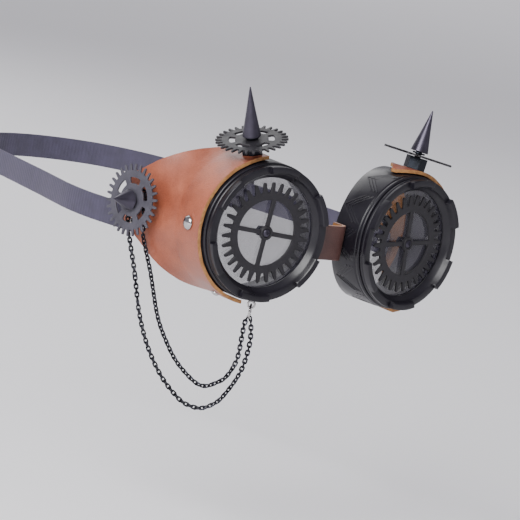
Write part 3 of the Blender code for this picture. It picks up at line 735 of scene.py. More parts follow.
@dataclass
class Eyecup:
    """The barrel, cap ring, lens and cog overlay of one eye."""

    side: Side
    radius: float = 32.0 * MM
    wall: float = 2.5 * MM
    nasal: float = 18.0 * MM
    temple: float = 29.0 * MM
    cap: float = 31.2 * MM
    window: float = 25.5 * MM
    lens: float = 27.5 * MM
    lugs: int = 6
    lug_turn: float = 27.0  # degrees, mirrored on the other side
    eye: Eye = field(init=False)

    def __post_init__(self) -> None:
        """Reads the eye's axes."""
        self.eye = Eye(self.side)

    def build(self) -> None:
        """Makes all of the eyecup's pieces."""
        self.barrel()
        self.pattern()
        self.cap_ring()
        self.lens_and_gasket()
        self.cog_overlay()

    def turned(self, name: str, profile: Profile, segments: int = 96, ring: bool = True) -> bpy.types.Object:
        """Turns a profile of radius and depth on the eyecup's axis."""
        return turn(name, [(radius, -depth) for radius, depth in profile], self.eye.place(), segments, ring)

    def barrel(self) -> None:
        """Turns the tube and cuts its rear rim to the slope of the face."""
        word = self.side.word
        bore = self.radius - self.wall
        deep = self.temple + 10 * MM
        profile = [
            (self.radius - 0.5 * MM, 1.1 * MM), (self.radius, 1.6 * MM), (self.radius, 2.6 * MM),
            (self.radius - 0.35 * MM, 2.9 * MM), (self.radius - 0.35 * MM, 3.4 * MM), (self.radius, 3.7 * MM),
            (self.radius, 14 * MM), (self.radius, deep), (bore, deep), (bore, 7.6 * MM), (26.1 * MM, 6.6 * MM),
            (26.1 * MM, 5.2 * MM), (bore, 5.2 * MM), (bore, 1.1 * MM),
        ]
        piece = self.turned(f"{word}_barrel_shell", profile, 128)
        slant = math.atan((self.temple - self.nasal) / (2 * self.radius))
        middle = self.eye.place((self.nasal + self.temple) / 2) @ Matrix.Rotation(self.side.value * slant, 4, "Y")
        take(piece)
        bpy.ops.object.mode_set(mode="EDIT")
        bpy.ops.mesh.select_all(action="SELECT")
        bpy.ops.mesh.bisect(
            plane_co=middle.translation, plane_no=middle.col[2].xyz, use_fill=True, clear_inner=True, clear_outer=False
        )
        bpy.ops.object.mode_set(mode="OBJECT")
        soften(piece, 0.25 * MM, 2, 40)
        hand_over(piece, Finishes.abs_moulded, "goggles", [f"{word}_barrel"])

    def pattern(self) -> None:
        """Raises the chevrons, of three lines each, that run round the bare part of the barrel."""
        word = self.side.word
        lines: list[bpy.types.Object] = []
        for apex in range(-32, -161, -32):
            for line in range(3):
                deep, near = (17.2 - 2.0 * line) * MM, (8.6 - 2.0 * line) * MM
                spread = 13.5
                points = []
                for step in range(-10, 11):
                    share = abs(step) / 10
                    angle = math.radians(apex + spread * step / 10)
                    points.append(self.eye.at(deep + (near - deep) * share, self.radius - 0.13 * MM, angle))
                lines.append(wire(f"{word}_line_{len(lines)}", points, 0.42 * MM, sides=2))
        take(lines[0])
        for line in lines:
            line.select_set(True)
        bpy.ops.object.join()
        lines[0].name = f"{word}_barrel_pattern"
        hand_over(lines[0], Finishes.abs_moulded, "goggles")

    def cap_ring(self) -> None:
        """Turns the cap ring, cuts the gaps between its lugs and eases the edges."""
        word = self.side.word
        rim, face = -4.8 * MM, -2.5 * MM
        inner = self.cap - 3.2 * MM
        skirt = self.radius - self.wall - GAP
        profile = [
            (self.cap - 0.2 * MM, rim), (self.cap, rim + 0.2 * MM), (self.cap, -1.4 * MM), (self.cap - 0.3 * MM, -1.1 * MM),
            (self.cap - 0.3 * MM, -0.6 * MM), (self.cap, -0.3 * MM), (self.cap, 0.6 * MM), (skirt, 0.6 * MM),
            (skirt, 3.3 * MM), (self.lens + GAP, 3.3 * MM), (self.lens + GAP, 1.0 * MM), (self.window, 1.0 * MM),
            (self.window, 0.4 * MM), (self.window + 0.35 * MM, 0.1 * MM), (inner - 0.9 * MM, -1.5 * MM),
            (inner - 0.2 * MM, face + 0.2 * MM), (inner + 0.2 * MM, rim + 0.5 * MM), (inner + 0.7 * MM, rim),
        ]
        piece = self.turned(f"{word}_cap", profile, 144)
        pitch = math.tau / self.lugs
        share = 0.48
        first = math.radians(self.lug_turn * -self.side.value)
        gaps = []
        for lug in range(self.lugs):
            start = first + (lug + share / 2) * pitch
            end = first + (lug + 1 - share / 2) * pitch
            gaps.append(circle(self.cap + 2 * MM, 24, start, end) + circle(inner - 3 * MM, 24, start, end)[::-1])
        cut(piece, plate(f"{word}_gaps", gaps, 0, 4 * MM, self.eye.place() @ Matrix.Translation((0, 0, -face))))
        tidy_mesh(piece)
        soften(piece, 0.22 * MM, 2, 38)
        hand_over(piece, Finishes.abs_moulded, f"{word}_cap", [f"{word}_cap_ring"])

    def lens_and_gasket(self) -> None:
        """Turns the lens, a flat disc with chamfered rims, and the rubber ring behind it."""
        word = self.side.word
        bore = 1.3 * MM
        profile = [
            (self.lens, 1.45 * MM), (self.lens - 0.15 * MM, 1.3 * MM), (15 * MM, 1.3 * MM), (bore, 1.3 * MM),
            (bore, 3.3 * MM), (15 * MM, 3.3 * MM), (self.lens - 0.15 * MM, 3.3 * MM), (self.lens, 3.15 * MM),
        ]
        piece = self.turned(f"{word}_clear_lens", profile, 96)
        smooth_shade(piece, 30)
        coat(piece, [Finishes.lens, Finishes.lens_back])
        for face in piece.data.polygons:
            face.material_index = 0 if face.normal.dot(self.eye.front) > 0.5 else 1
        hand_over(piece, Finishes.lens, "goggles", [f"{word}_lens"])
        seal = [
            (28.3 * MM, 3.7 * MM), (28.3 * MM, 4.7 * MM), (28.1 * MM, 4.85 * MM), (26.3 * MM, 4.85 * MM),
            (26.1 * MM, 4.7 * MM), (26.1 * MM, 3.8 * MM), (26.3 * MM, 3.65 * MM), (28.1 * MM, 3.65 * MM),
        ]
        piece = self.turned(f"{word}_rubber_ring", seal, 96)
        smooth_shade(piece, 30)
        hand_over(piece, Finishes.rubber, "goggles", [f"{word}_lens_gasket"])

    def cog_overlay(self) -> None:
        """Cuts the spoked cog, and makes the screw and nut that hold it to the lens."""
        word = self.side.word
        half = 1.05 * MM
        hole = 15.2 * MM
        hub = 3.3 * MM
        outlines = [toothed(23.3 * MM, 18.7 * MM, 30, 0.27, 0.15), circle(1.3 * MM, 24)]
        for quarter in range(4):
            angle = quarter * math.pi / 2
            wide, tight = math.asin(half / hole), math.asin(half / hub)
            outer = circle(hole, 24, angle + wide, angle + math.pi / 2 - wide)
            inner = circle(hub, 8, angle + tight, angle + math.pi / 2 - tight)
            outlines.append(outer + inner[::-1])
        lean = Matrix.Rotation(math.radians(4.0 * self.side.value), 4, "Z")
        piece = plate(f"{word}_cog_overlay", outlines, -0.5 * MM, 0.5 * MM, self.eye.place() @ lean, 0.12 * MM)
        boss = [
            (3.2 * MM, -0.45 * MM), (3.2 * MM, -1.0 * MM), (3.0 * MM, -1.2 * MM), (2.3 * MM, -1.2 * MM),
            (2.1 * MM, -1.0 * MM), (2.1 * MM, -0.45 * MM),
        ]
        collar = self.turned(f"{word}_hub_collar", boss, 48)
        smooth_shade(collar, 25)
        take(piece)
        collar.select_set(True)
        bpy.ops.object.join()
        hand_over(piece, Finishes.cog, "goggles", [f"{word}_lens_cog"])
        head = [
            (0, -1.75 * MM), (0.7 * MM, -1.7 * MM), (1.4 * MM, -1.45 * MM), (1.8 * MM, -1.05 * MM), (1.8 * MM, -0.8 * MM),
            (1.0 * MM, -0.8 * MM), (1.0 * MM, 5.4 * MM), (0.8 * MM, 5.6 * MM), (0, 5.6 * MM),
        ]
        piece = self.turned(f"{word}_centre_screw", head, 40, ring=False)
        for cross in (0.35, 0.35 + math.pi / 2):
            slot = [(-1.1 * MM, -0.2 * MM), (1.1 * MM, -0.2 * MM), (1.1 * MM, 0.2 * MM), (-1.1 * MM, 0.2 * MM)]
            turned = self.eye.place() @ Matrix.Rotation(cross, 4, "Z")
            cut(piece, plate(f"{word}_slot", [slot], 1.35 * MM, 2.4 * MM, turned))
        smooth_shade(piece, 30)
        hand_over(piece, Finishes.spike, "goggles", [f"{word}_lens_screw"])
        piece = plate(f"{word}_rear_nut", [circle(2.5 * MM, 6), circle(1.3 * MM, 24)], -5.2 * MM, -3.6 * MM, self.eye.place(), 0.2 * MM)
        hand_over(piece, Finishes.blued, "goggles", [f"{word}_lens_nut"])


@dataclass
class Shield:
    """The leather that wraps the outer half of a barrel and runs back to the temple."""

    side: Side
    barrel: float = 32.0 * MM
    thickness: float = 2.0 * MM
    start: float = 3.0 * MM
    bend: float = 22.0 * MM
    flat: float = 50.0 * MM
    bulge: float = 4.0 * MM
    flare: float = 5.5 * MM
    # Rear edge: angle from the top in degrees, depth in millimetres
    edge: tuple[tuple[float, float], ...] = (
        (27, 32), (46, 41), (60, 49), (70, 56), (88, 57.5), (106, 57), (117, 48), (129, 40.5),
        (148, 34), (164, 29), (171, 16), (174, 5),
    )
    right_top: tuple[tuple[float, float], ...] = ((4, 15), (9, 22), (16, 27.5))
    left_top: tuple[tuple[float, float], ...] = ((-14, 11.5), (-6, 15), (8, 24))
    corner_span: float = 24.0  # degrees that the front corner's cut takes
    columns: int = 150
    rows: int = 44
    eye: Eye = field(init=False)

    def __post_init__(self) -> None:
        """Reads the eye's axes."""
        self.eye = Eye(self.side)

    def middle(self, angle: float, depth: float) -> Vector:
        """The middle of the leather's thickness: round the barrel, then flattening to the temple.

        Args:
            angle: from the top, outwards, in radians.
            depth: behind the cog overlay.

        Returns:
            The point.
        """
        radius = self.barrel + GAP + self.thickness / 2
        share = max(0.0, depth - self.bend) / (self.flat - self.bend)
        ease = min(share, 1.0) ** 2 * (3 - 2 * min(share, 1.0))
        bulge = radius + (self.bulge - radius) * ease
        tall = radius + (self.barrel - radius) * ease
        out = radius - bulge + self.flare * share
        spot = self.eye.centre - depth * self.eye.front
        return spot + (out + bulge * math.sin(angle)) * self.eye.outward + tall * math.cos(angle) * UP

    def normal(self, angle: float, depth: float) -> Vector:
        """The outward direction of the leather's face."""
        step = 0.5 * MM
        along = self.middle(angle, depth + step) - self.middle(angle, depth - step)
        round_it = self.middle(angle + 0.01, depth) - self.middle(angle - 0.01, depth)
        found = along.cross(round_it).normalized()
        return found if found.dot(self.eye.radial(angle)) > 0 else -found

    def at_level(self, along: float, level: float) -> tuple[float, float]:
        """The angle and depth of the shield's point where Y is along and Z is level."""
        depth = along - self.eye.centre.y
        angle = math.pi / 2
        for _ in range(8):
            spot = self.middle(angle, depth)
            depth += along - spot.y
            angle += (spot.z - level) / self.barrel
        return angle, depth

    def front(self, angle: float) -> float:
        """The depth of the front edge at an angle in degrees, cut back towards its end over the eye."""
        start, rise = (4.0, 2.5 * MM) if self.side is Side.RIGHT else (-14.0, 6.0 * MM)
        return self.start + rise * max(0.0, 1 - (angle - start) / self.corner_span) ** 2

    def build(self) -> None:
        """Lays the sheet over its form, and gives it its thickness and its cut edge."""
        word = self.side.word
        top = self.right_top if self.side is Side.RIGHT else self.left_top
        line = evenly(smooth([(angle, depth, 0) for angle, depth in (*top, *self.edge)], 12), self.columns + 1)

        def surface(u: float, v: float) -> Vector:
            """The sheet's point for its share round the barrel and its share back along it."""
            angle, depth, _ = line[round(u * self.columns)]
            rag = 0.28 * noise.noise(Vector((angle * 0.25, self.side.value, 3.0)))
            back = self.front(angle) + 0.25 * MM * noise.noise(Vector((angle * 0.12, 7.0, self.side.value)))
            spot = self.middle(math.radians(angle), back + ((depth + rag) * MM - back) * v)
            lift = 0.22 * MM * max(0.0, noise.noise(spot * 70)) * min(1.0, v * 3)
            return spot + lift * self.normal(math.radians(angle), depth * MM * v + 1 * MM)

        piece = skin(f"{word}_leather", self.columns, self.rows, surface, lambda spot: self.eye.outward)
        coat(piece, [Finishes.tan, Finishes.flesh, Finishes.cut_edge])
        modify(
            piece,
            "SOLIDIFY",
            thickness=self.thickness - 0.4 * MM,
            offset=0.1875,  # the outer face stays where the full thickness puts it
            use_even_offset=True,
            material_offset=1,
            material_offset_rim=2,
        )
        tidy_mesh(piece)
        modify(piece, "BEVEL", width=0.42 * MM, segments=3, limit_method="ANGLE", angle_limit=math.radians(50), material=0)
        smooth_shade(piece, 60)
        hand_over(piece, Finishes.tan, "goggles", [f"{word}_side_shield"])


@dataclass
class Rivets:
    """The domed rivets of one side, each through leather, strap or barrel."""

    side: Side
    shield: Shield
    shank: float = 1.1 * MM

    def rivet(self, node: str, name: str, place: Matrix, radius: float, below: float) -> None:
        """Turns a rivet with a rolled flange under its dome, and the tail that was set behind.

        Args:
            node: the node that it stands for.
            name: the piece's name.
            place: local Z out of the surface, with its origin on it.
            radius: of the head.
            below: depth of the far surface.
        """
        end = -below - GAP
        tail = radius * 0.65
        low = GAP
        dome = [
            (radius * math.sin(angle), low + 0.55 * radius * math.cos(angle)) for angle in (0, 0.25, 0.5, 0.75, 1.0, 1.2, 1.4)
        ]
        profile = [
            *dome, (radius, low + 0.06 * radius), (radius, low), (self.shank, low), (self.shank, end), (tail, end),
            (tail, end - 0.7 * MM), (tail - 0.3 * MM, end - 0.9 * MM), (0, end - 0.9 * MM),
        ]
        piece = turn(name, profile, place, 48)
        smooth_shade(piece, 40)
        hand_over(piece, Finishes.nickel, "goggles", [node])

    def build(self) -> None:
        """Makes the side's five rivets."""
        word = self.side.word
        eye = self.shield.eye
        barrel = self.shield.barrel
        top = barrel + GAP + self.shield.thickness
        through = top - barrel + 2.5 * MM
        for label, degrees, depth, radius in (("side", 91.5, 11.6 * MM, 3.25 * MM), ("lower", 155.0, 9.0 * MM, 1.9 * MM)):
            angle = math.radians(degrees)
            place = frame_at(eye.at(depth, top, angle), eye.radial(angle), eye.front)
            self.rivet(f"{word}_{label}_rivet", f"{word}_{label}_dome", place, radius, through)
        spot = eye.at(14.0 * MM, barrel, -math.pi / 2) + Vector((0, 0, -3.5 * MM))
        drop = self.shield.thickness + GAP
        place = frame_at(spot, -eye.outward) @ Matrix.Translation((0, 0, drop))
        self.rivet(f"{word}_bridge_rivet", f"{word}_bridge_dome", place, 2.0 * MM, drop + 2.8 * MM)
        for letter in "ab":
            node = f"{word}_strap_rivet_{letter}"
            low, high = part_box(node)
            along = (low.y + high.y) / 2
            angle, depth = self.shield.at_level(along, -9.0 * MM)
            normal = self.shield.normal(angle, depth)
            place = frame_at(self.shield.middle(angle, depth) + normal * self.shield.thickness / 2, normal)
            below = (high.x - low.x) - 2.6 * MM
            self.rivet(node, f"{word}_strap_dome_{letter}", place, 1.9 * MM, below)


@dataclass
class Stud:
    """A hex standoff on a bolt, with a free cog, a washer and a screwed-on spike."""

    side: Side
    label: str  # top or temple
    coat: Finish  # of the cog
    standoff: float  # corner radius of the hexagon
    spike_radius: float
    spike_length: float
    height: float = 5.0 * MM
    bolt: float = 1.5 * MM
    cog_tip: float = 16.6 * MM
    cog_root: float = 13.6 * MM
    cog_thickness: float = 1.0 * MM
    washer: float = 0.8 * MM

    def build(self) -> None:
        """Makes the stud's pieces on the axis of its cog's joint."""
        word = f"{self.side.word}_{self.label}"
        joint = joint_of(f"{word}_cog_spin")
        axis = Vector(joint["axis"]).normalized()
        cog_low = self.height + GAP
        seat = Vector(joint["pos_m"]) - axis * (cog_low + self.cog_thickness / 2)
        up = Eye(self.side).front if self.label == "top" else UP
        place = frame_at(seat, axis, up)
        self.hexagon(word, place)
        self.cog(word, place, cog_low)
        washer_low = cog_low + self.cog_thickness + GAP
        spike_low = washer_low + self.washer + GAP
        inner = self.bolt + GAP
        ring = [(3.0 * MM, washer_low + self.washer), (3.0 * MM, washer_low), (inner, washer_low), (inner, washer_low + self.washer)]
        piece = turn(f"{word}_flat_washer", ring, place, 48, True)
        soften(piece, 0.12 * MM)
        hand_over(piece, Finishes.blued, "goggles", [f"{word}_washer"])
        self.spike(word, place, spike_low)
        self.screw(word, place, spike_low + 0.35 * self.spike_length)

    def hexagon(self, word: str, place: Matrix) -> None:
        """Cuts the hex standoff and chamfers its corners."""
        outline = [circle(self.standoff, 6), circle(self.bolt + GAP, 32)]
        foot = -0.8 * MM if self.label == "top" else 0.0  # the top ones are tilted, and bed into the leather
        piece = plate(f"{word}_hex_spacer", outline, foot, self.height, place, 0.15 * MM)
        smooth_shade(piece, 20)
        hand_over(piece, Finishes.blued, "goggles", [f"{word}_standoff"])

    def cog(self, word: str, place: Matrix, low: float) -> None:
        """Cuts the free cog, with six windows round its web."""
        outlines = [toothed(self.cog_tip, self.cog_root, 30, 0.24, 0.15), circle(self.bolt + GAP, 32)]
        pitch = math.tau / 6
        for window in range(6):
            start, end = (window + 0.16) * pitch, (window + 0.84) * pitch
            ease = 0.045
            outer = [polar(9.9 * MM, start), *circle(10.4 * MM, 10, start + ease, end - ease), polar(9.9 * MM, end)]
            inner = [polar(8.1 * MM, end), *circle(7.6 * MM, 8, start + ease, end - ease)[::-1], polar(8.1 * MM, start)]
            outlines.append(outer + inner)
        piece = plate(f"{word}_free_cog", outlines, low, low + self.cog_thickness, place, 0.14 * MM)
        hand_over(piece, self.coat, f"{word}_cog", [f"{word}_cog"])

    def spike(self, word: str, place: Matrix, low: float) -> None:
        """Turns the spike, a cone with a small collar at its foot and a blunted tip."""
        base, length = self.spike_radius, self.spike_length
        deep = low + 0.35 * length + GAP
        inner = self.bolt + GAP
        cone = [
            (0, low + length), (0.18 * MM, low + length - 0.08 * MM), (0.32 * MM, low + length - 0.35 * MM),
            (base * 0.52, low + 0.3 * MM + (length - 0.3 * MM) * 0.5), (base + 0.05 * MM, low + 0.3 * MM),
            (base - 0.1 * MM, low), (inner, low), (inner, deep), (0, deep),
        ]
        piece = turn(f"{word}_cone_spike", cone, place, 72)
        smooth_shade(piece, 15)
        hand_over(piece, Finishes.spike, "goggles", [f"{word}_spike"])

    def screw(self, word: str, place: Matrix, top: float) -> None:
        """Turns the bolt, whose head sits inside the goggles."""
        back = place.inverted()
        reach = min((back @ vertex.co).z for vertex in FRAME["nodes"][f"{word}_bolt"].data.vertices)
        head = reach + 1.5 * MM
        bolt = [
            (0, top), (self.bolt - 0.3 * MM, top), (self.bolt, top - 0.3 * MM), (self.bolt, head), (2.8 * MM, head),
            (2.8 * MM, head - 0.8 * MM), (2.5 * MM, head - 1.2 * MM), (1.9 * MM, head - 1.5 * MM), (0, head - 1.5 * MM),
        ]
        piece = turn(f"{word}_through_bolt", bolt, place, 40)
        smooth_shade(piece, 35)
        hand_over(piece, Finishes.blued, "goggles", [f"{word}_bolt"])


@dataclass
class Bridge:
    """The leather strip across the nose, whose ends turn back along the barrels."""

    height: float = 17.0 * MM
    level: float = -3.5 * MM
    thickness: float = 2.0 * MM
    barrel: float = 32.0 * MM
    depths: tuple[float, ...] = (17.7 * MM, 14.0 * MM, 11.5 * MM)
    corner: float = 2.3 * MM

    def line(self) -> list[Vector]:
        """The strip's middle line, seen from above."""
        eye = Eye(Side.RIGHT)
        clear = self.barrel + GAP + self.thickness / 2
        half = [eye.at(depth, clear, -math.pi / 2) for depth in self.depths]
        corner = half[-1] + Vector((self.corner, -0.7 * self.corner, 0))
        half += [corner, Vector((0, corner.y - 0.3 * MM, 0))]
        return smooth(half + [Vector((-point.x, point.y, 0)) for point in half[-2::-1]], 16)

    def build(self) -> None:
        """Bends the strip."""
        columns = 120
        line = evenly(self.line(), columns + 1)

        def surface(u: float, v: float) -> Vector:
            """The strip's point for its share across the nose and its share up."""
            spot = line[round(u * columns)]
            dip = 0.35 * MM * math.cos((u - 0.5) * math.pi) * (1 - 2 * v)
            return spot + Vector((0, 0, self.level + (v - 0.5) * (self.height - 0.1 * MM) + dip))

        piece = skin("bridge_leather", columns, 16, surface, lambda spot: Vector((0, -1, 0)))
        coat(piece, [Finishes.brown, Finishes.flesh, Finishes.brown_edge])
        modify(
            piece, "SOLIDIFY", thickness=self.thickness - 0.1 * MM, offset=0.0, use_even_offset=True,
            material_offset=1, material_offset_rim=2,
        )
        tidy_mesh(piece)
        modify(piece, "BEVEL", width=0.4 * MM, segments=3, limit_method="ANGLE", angle_limit=math.radians(50), material=0)
        smooth_shade(piece, 60)
        hand_over(piece, Finishes.brown, "goggles", ["bridge_strap"])


@dataclass
class HeadStrap:
    """The two halves of the elastic band, and the slider that they share."""

    width: float = 12.0 * MM
    thickness: float = 1.4 * MM
    layers: float = 0.5 * MM
    level: float = -9.0 * MM
    starts: tuple[float, ...] = (25.0 * MM, 31.0 * MM, 37.0 * MM, 45.0 * MM)
    overlap: tuple[float, float] = (105.0 * MM, 168.0 * MM)
    # The loop seen from above: share of its half width, and Y in millimetres
    path: tuple[tuple[float, float], ...] = (
        (0.972, 56.0), (0.999, 70.0), (0.992, 85.0), (0.954, 101.0), (0.904, 119.0), (0.860, 137.0),
        (0.816, 155.0), (0.771, 173.0), (0.691, 192.0), (0.552, 208.0), (0.330, 219.5), (0.0, 224.0),
    )

    def line(self) -> list[Vector]:
        """The loop's middle line, from its right end round the head to its left end."""
        shield = Shield(Side.RIGHT)
        widest = abs(shield.eye.centre.x) + shield.barrel + 3.0 * MM
        inwards = shield.thickness / 2 + GAP + self.thickness + self.layers / 2
        half = []
        for along in self.starts:
            spot = shield.middle(*shield.at_level(along, self.level - self.width / 2))
            half.append(Vector((spot.x + inwards, along, 0)))
        half += [Vector((-share * widest, y * MM, 0)) for share, y in self.path]
        return smooth(half + [Vector((-point.x, point.y, 0)) for point in half[-2::-1]], 10)

    def band(self, name: str, line: Sequence[Vector], offset: float, node: str) -> None:
        """Lays one half of the band along part of the loop.

        Args:
            name: the piece's name.
            line: the part of the loop that it follows.
            offset: how far outside the loop it lies.
            node: the node that it stands for.
        """
        columns = round(length_of(line) / (2.0 * MM))
        spots = evenly(line, columns + 1)
        ways = [(end - start).normalized() for start, end in zip(spots, spots[1:])]
        ways = [ways[0], *[(a + b).normalized() for a, b in zip(ways, ways[1:])], ways[-1]]

        def surface(u: float, v: float) -> Vector:
            """The band's point for its share along the loop and its share up."""
            index = round(u * columns)
            left = Vector((-ways[index].y, ways[index].x, 0))
            crown = 0.12 * MM * math.sin(v * math.pi)
            return spots[index] + left * (offset + crown) + Vector((0, 0, self.level + (v - 0.5) * (self.width - 0.2 * MM)))

        piece = skin(name, columns, 10, surface, lambda spot: Vector((spot.x, spot.y - 0.1, 0)))
        modify(piece, "SOLIDIFY", thickness=self.thickness - 0.25 * MM, offset=0.0, use_even_offset=True)
        tidy_mesh(piece)
        modify(piece, "BEVEL", width=0.45 * MM, segments=3, limit_method="ANGLE", angle_limit=math.radians(50))
        smooth_shade(piece, 60)
        hand_over(piece, Finishes.strap, "goggles", [node])

    def build(self) -> None:
        """Makes both halves and the slider."""
        loop = self.line()
        near, far = self.overlap
        offset = (self.thickness + self.layers) / 2
        self.band("right_band", [p for p in loop if p.x < 0 or p.y > near], offset, "right_strap")
        self.band("left_band", [p for p in loop if p.x > 0 and p.y < far], -offset, "left_strap")
        self.slider()

    def slider(self) -> None:
        """Cuts the flat loop that both halves run through."""
        axis = Vector(joint_of("slider_slide")["axis"]).normalized()
        low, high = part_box("strap_slider")
        place = frame_at((low + high) / 2, axis)
        wide = self.thickness + self.layers / 2 + 0.5 * MM
        tall = self.width / 2 + 0.6 * MM
        rim = 1.6 * MM

        def outline(half_x: float, half_y: float, corner: float) -> list[tuple[float, float]]:
            """A rectangle with rounded corners."""
            found = []
            for quarter, (x, y) in enumerate(((1, 1), (-1, 1), (-1, -1), (1, -1))):
                middle_x, middle_y = x * (half_x - corner), y * (half_y - corner)
                for dx, dy in circle(corner, 5, quarter * math.pi / 2, (quarter + 1) * math.pi / 2):
                    found.append((middle_x + dx, middle_y + dy))
            return found

        shapes = [outline(wide + rim, tall + rim, 1.2 * MM), outline(wide, tall, 0.4 * MM)]
        piece = plate("slider_loop", shapes, -4.5 * MM, 4.5 * MM, place, 0.3 * MM)
        hand_over(piece, Finishes.spike, "slider", ["strap_slider"])


@dataclass
class Chain:
    """The screw eye, its split ring, and the linked chain that loops over the temple stud."""

    pitch: float = 1.95 * MM
    link_length: float = 3.4 * MM
    link_width: float = 2.5 * MM
    link_wire: float = 0.4 * MM
    diameter: float = 2.2 * MM
    ring_radius: float = 3.0 * MM
    # The route in millimetres from the middle of the right eyecup's cog overlay
    outer: tuple[tuple[float, float, float], ...] = (
        (3.8, 3.5, -40.1), (4.5, 2.5, -43.5), (5.0, 1.4, -52.6), (3.6, 2.3, -65.8), (0.0, 6.5, -78.3),
        (-2.4, 9.5, -83.0), (-5.5, 13.5, -86.1), (-8.5, 17.2, -86.3), (-12.3, 22.0, -84.4),
        (-18.7, 30.1, -75.9), (-24.4, 37.3, -63.4), (-28.6, 42.5, -49.3), (-32.3, 47.2, -30.9),
        (-35.7, 52.3, -14.1),
    )
    inner: tuple[tuple[float, float, float], ...] = (
        (-35.1, 43.2, -11.9), (-30.6, 37.7, -29.3), (-25.8, 32.7, -48.1), (-21.7, 28.2, -58.6),
        (-16.9, 23.0, -67.5), (-10.5, 16.2, -74.4), (-6.8, 12.4, -75.4), (-3.7, 9.0, -72.8),
        (-1.1, 6.0, -69.2), (1.2, 3.6, -60.5), (1.8, 4.0, -50.0), (2.3, 4.6, -43.5),
        (3.0, 4.2, -40.1),
    )
    standoff: float = 4.7 * MM
    seat_height: float = 3.2 * MM

    def route(self) -> list[Vector]:
        """The chain's middle line: down the outer strand's way, over the stud and back."""
        shield = Shield(Side.RIGHT)
        angle, depth = math.radians(88.0), 46.0 * MM
        normal = shield.normal(angle, depth)
        post = shield.middle(angle, depth) + normal * (shield.thickness / 2 + self.seat_height)
        back = UP.cross(normal).normalized()
        back = back if back.y > 0 else -back
        seat = self.standoff + self.diameter / 2 + GAP
        over = [post + seat * (math.cos(turn_) * back + math.sin(turn_) * UP) for turn_ in (0, 0.8, 1.57, 2.34, math.pi)]
        centre = shield.eye.centre
        down, home = ([centre + Vector(point) * MM for point in part] for part in (self.outer, self.inner))
        return smooth(down + over + home, 8)

    def link(self) -> bpy.types.Object:
        """Bends one link: an oval of wire, twisted a little along its length."""
        points = []
        straight = (self.link_length - self.link_width) / 2
        radius = self.link_width / 2 - self.link_wire
        for step in range(14):
            angle = math.tau * step / 14
            x = math.cos(angle) * radius + math.copysign(straight, math.cos(angle))
            twist = 0.5 * math.sin(angle) * math.cos(angle)
            points.append(Vector((x, math.sin(angle) * radius, twist * radius)))
        return wire("chain_link", points, self.link_wire, closed=True, sides=1)

    def build(self) -> None:
        """Hangs the chain from its ring, and makes the ring and the screw eye."""
        route = self.route()
        length = length_of(route)
        count = round(length / self.pitch)
        spots = evenly(route, count + 1)
        model = self.link()
        links = []
        for index, (start, end) in enumerate(zip(spots, spots[1:])):
            along = (end - start).normalized()
            side = along.cross(UP if abs(along.z) < 0.95 else Vector((1, 0, 0))).normalized()
            square = Matrix((along, side, along.cross(side))).transposed().to_4x4()
            tilt = Matrix.Rotation(math.radians(38 if index % 2 else -52), 4, "X")
            copy = bpy.data.objects.new(f"link_{index}", model.data.copy())
            bpy.context.scene.collection.objects.link(copy)
            copy.data.transform(Matrix.Translation((start + end) / 2) @ square @ tilt)
            links.append(copy)
        bpy.data.objects.remove(model)
        take(links[0])
        for link in links:
            link.select_set(True)
        bpy.ops.object.join()
        chain = links[0]
        chain.name = "linked_chain"
        hand_over(chain, Finishes.chain, "goggles", ["chain"])
        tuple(route[0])
        evenly(route, 150)
        self.ring()
        self.screw_eye()

    def ring(self) -> None:
        """Bends the split ring, whose ends nearly meet."""
        joint = joint_of("jump_ring_swing")
        low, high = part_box("jump_ring")
        place = frame_at((low + high) / 2, Vector(joint["axis"]))
        gap = 0.12
        points = [place @ Vector((x, y, 0)) for x, y in circle(self.ring_radius, 40, gap - 0.6, math.tau - gap - 0.6)]
        piece = wire("split_ring", points, 0.54 * MM, sides=4)
        hand_over(piece, Finishes.nickel, "jump_ring", ["jump_ring"])

    def screw_eye(self) -> None:
        """Bends the eye from wire, and runs its stem into the barrel."""
        joint = joint_of("jump_ring_swing")
        eye = Eye(Side.RIGHT)
        angle = math.radians(-175.0)
        down = eye.radial(angle)
        mount = eye.at(4.2 * MM, 32.0 * MM, angle)
        loop = 1.6 * MM
        centre = mount + down * (GAP + loop + 0.5 * MM)
        swing = Vector(joint["axis"]).normalized()
        ring = frame_at(centre, down.cross(swing), -down)
        points = [ring @ Vector((x, y, 0)) for x, y in circle(loop, 30, math.pi / 2 + 0.12, math.pi / 2 + math.tau - 0.12)]
        stem = [mount - down * 1.9 * MM, mount - down * 0.9 * MM, mount + down * 0.1 * MM]
        piece = wire("wire_eye", stem + points, 0.48 * MM, sides=3)
        hand_over(piece, Finishes.nickel, "goggles", ["screw_eye"])


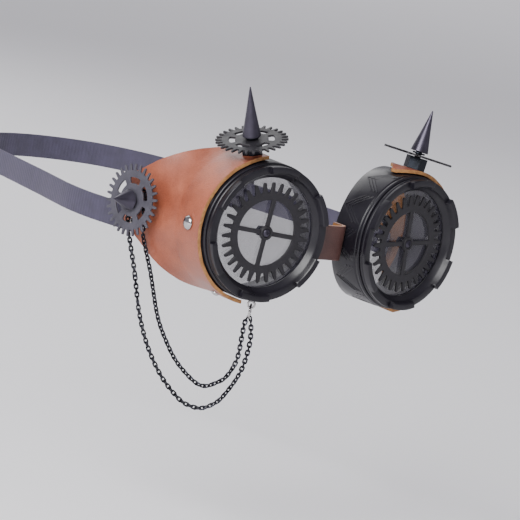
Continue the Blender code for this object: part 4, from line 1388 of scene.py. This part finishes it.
@dataclass
class Studio:
    """The pale floor and backdrop, the soft lights and the camera."""

    drop: float = 0.16  # of the floor below the origin
    camera_spot: Vector = field(default_factory=lambda: Vector((-0.9970, -1.0994, 0.2048)))
    forward: Vector = field(default_factory=lambda: Vector((0.653, 0.743, -0.149)))
    upward: Vector = field(default_factory=lambda: Vector((-0.052, 0.240, 0.969)))
    lens: float = 223.9

    def build(self) -> None:
        """Sets the stage."""
        self.camera()
        self.backdrop()
        self.lights()

    def camera(self) -> None:
        """Stands the camera in front of the wearer's right cheek, a little above and rolled."""
        made = bpy.data.cameras.new("camera")
        made.lens = self.lens
        made.sensor_width = 36.0
        made.clip_end = 40.0
        piece = bpy.data.objects.new("camera", made)
        back = -self.forward.normalized()
        right = self.upward.cross(back).normalized()
        turned = Matrix((right, back.cross(right), back)).transposed().to_4x4()
        piece.matrix_world = Matrix.Translation(self.camera_spot) @ turned
        bpy.context.scene.collection.objects.link(piece)
        bpy.context.scene.camera = piece

    def backdrop(self) -> None:
        """Lays a pale floor, wide enough to fill the view."""
        bpy.ops.object.select_all(action="DESELECT")
        bpy.ops.mesh.primitive_circle_add(vertices=96, radius=12, fill_type="NGON", location=(0, 0, -self.drop))
        floor = bpy.context.object
        floor.name = "studio_floor"
        white = Finish("studio_paper", "#f4f3f5", "#f6f5f7", 0.9, patch=0.8, grain=0.01, depth=0.0)
        floor.data.materials.append(Finishes.get(white))

    def lights(self) -> None:
        """Hangs a large key to the upper left, a fill, a rim and a wash over the far floor, under a pale sky."""
        self.area("key", Vector((-1.4, -0.6, 1.0)), 1.1, 58)
        self.area("fill", Vector((1.2, -1.3, 0.6)), 1.6, 2.5)
        self.area("rim", Vector((0.2, 1.4, 1.0)), 1.4, 14)
        self.area("wash", Vector((3.8, 4.4, 2.8)), 4.5, 75, Vector((3.8, 4.4, 0)))
        world = bpy.data.worlds.new("studio")
        world.use_nodes = True
        world.node_tree.nodes["Background"].inputs["Color"].default_value = linear("#eae8f4")
        world.node_tree.nodes["Background"].inputs["Strength"].default_value = 0.42
        bpy.context.scene.world = world

    def area(self, name: str, spot: Vector, size: float, power: float, target: Vector = Vector()) -> None:
        """Hangs one soft light.

        Args:
            name: the light's name.
            spot: where it hangs.
            size: across its square face.
            power: in watts.
            target: what it looks at.
        """
        made = bpy.data.lights.new(name, "AREA")
        made.size = size
        made.energy = power
        piece = bpy.data.objects.new(name, made)
        piece.matrix_world = Matrix.Translation(spot) @ (spot - target).to_track_quat("Z", "Y").to_matrix().to_4x4()
        bpy.context.scene.collection.objects.link(piece)


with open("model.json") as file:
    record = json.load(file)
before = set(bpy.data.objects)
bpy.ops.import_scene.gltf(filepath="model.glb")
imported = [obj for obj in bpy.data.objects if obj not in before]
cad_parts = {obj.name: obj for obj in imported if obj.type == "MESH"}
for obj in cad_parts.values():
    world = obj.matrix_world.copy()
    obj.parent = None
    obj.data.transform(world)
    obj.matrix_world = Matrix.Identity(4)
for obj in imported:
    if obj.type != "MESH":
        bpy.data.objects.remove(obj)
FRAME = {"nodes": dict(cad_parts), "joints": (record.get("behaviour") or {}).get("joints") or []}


def main() -> None:
    """Builds the goggles in order: camera and chain first, then each side, the bridge and the strap."""
    logging.basicConfig(level=logging.INFO, format="%(name)s %(message)s")
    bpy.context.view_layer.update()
    Studio().build()
    Chain().build()
    for side in Side:
        Eyecup(side).build()
        shield = Shield(side)
        shield.build()
        Rivets(side, shield).build()
        Stud(side, "top", Finishes.cog, 5.2 * MM, 4.2 * MM, 23.6 * MM if side is Side.RIGHT else 20.3 * MM).build()
        # The temple cogs get the coat painted lighter, as painted light for the key light that falls on them
        Stud(side, "temple", Finishes.pale_cog, 4.7 * MM, 4.8 * MM, 9.5 * MM).build()
    Bridge().build()
    HeadStrap().build()
    bpy.context.view_layer.update()


if __name__ == "__main__":
    main()
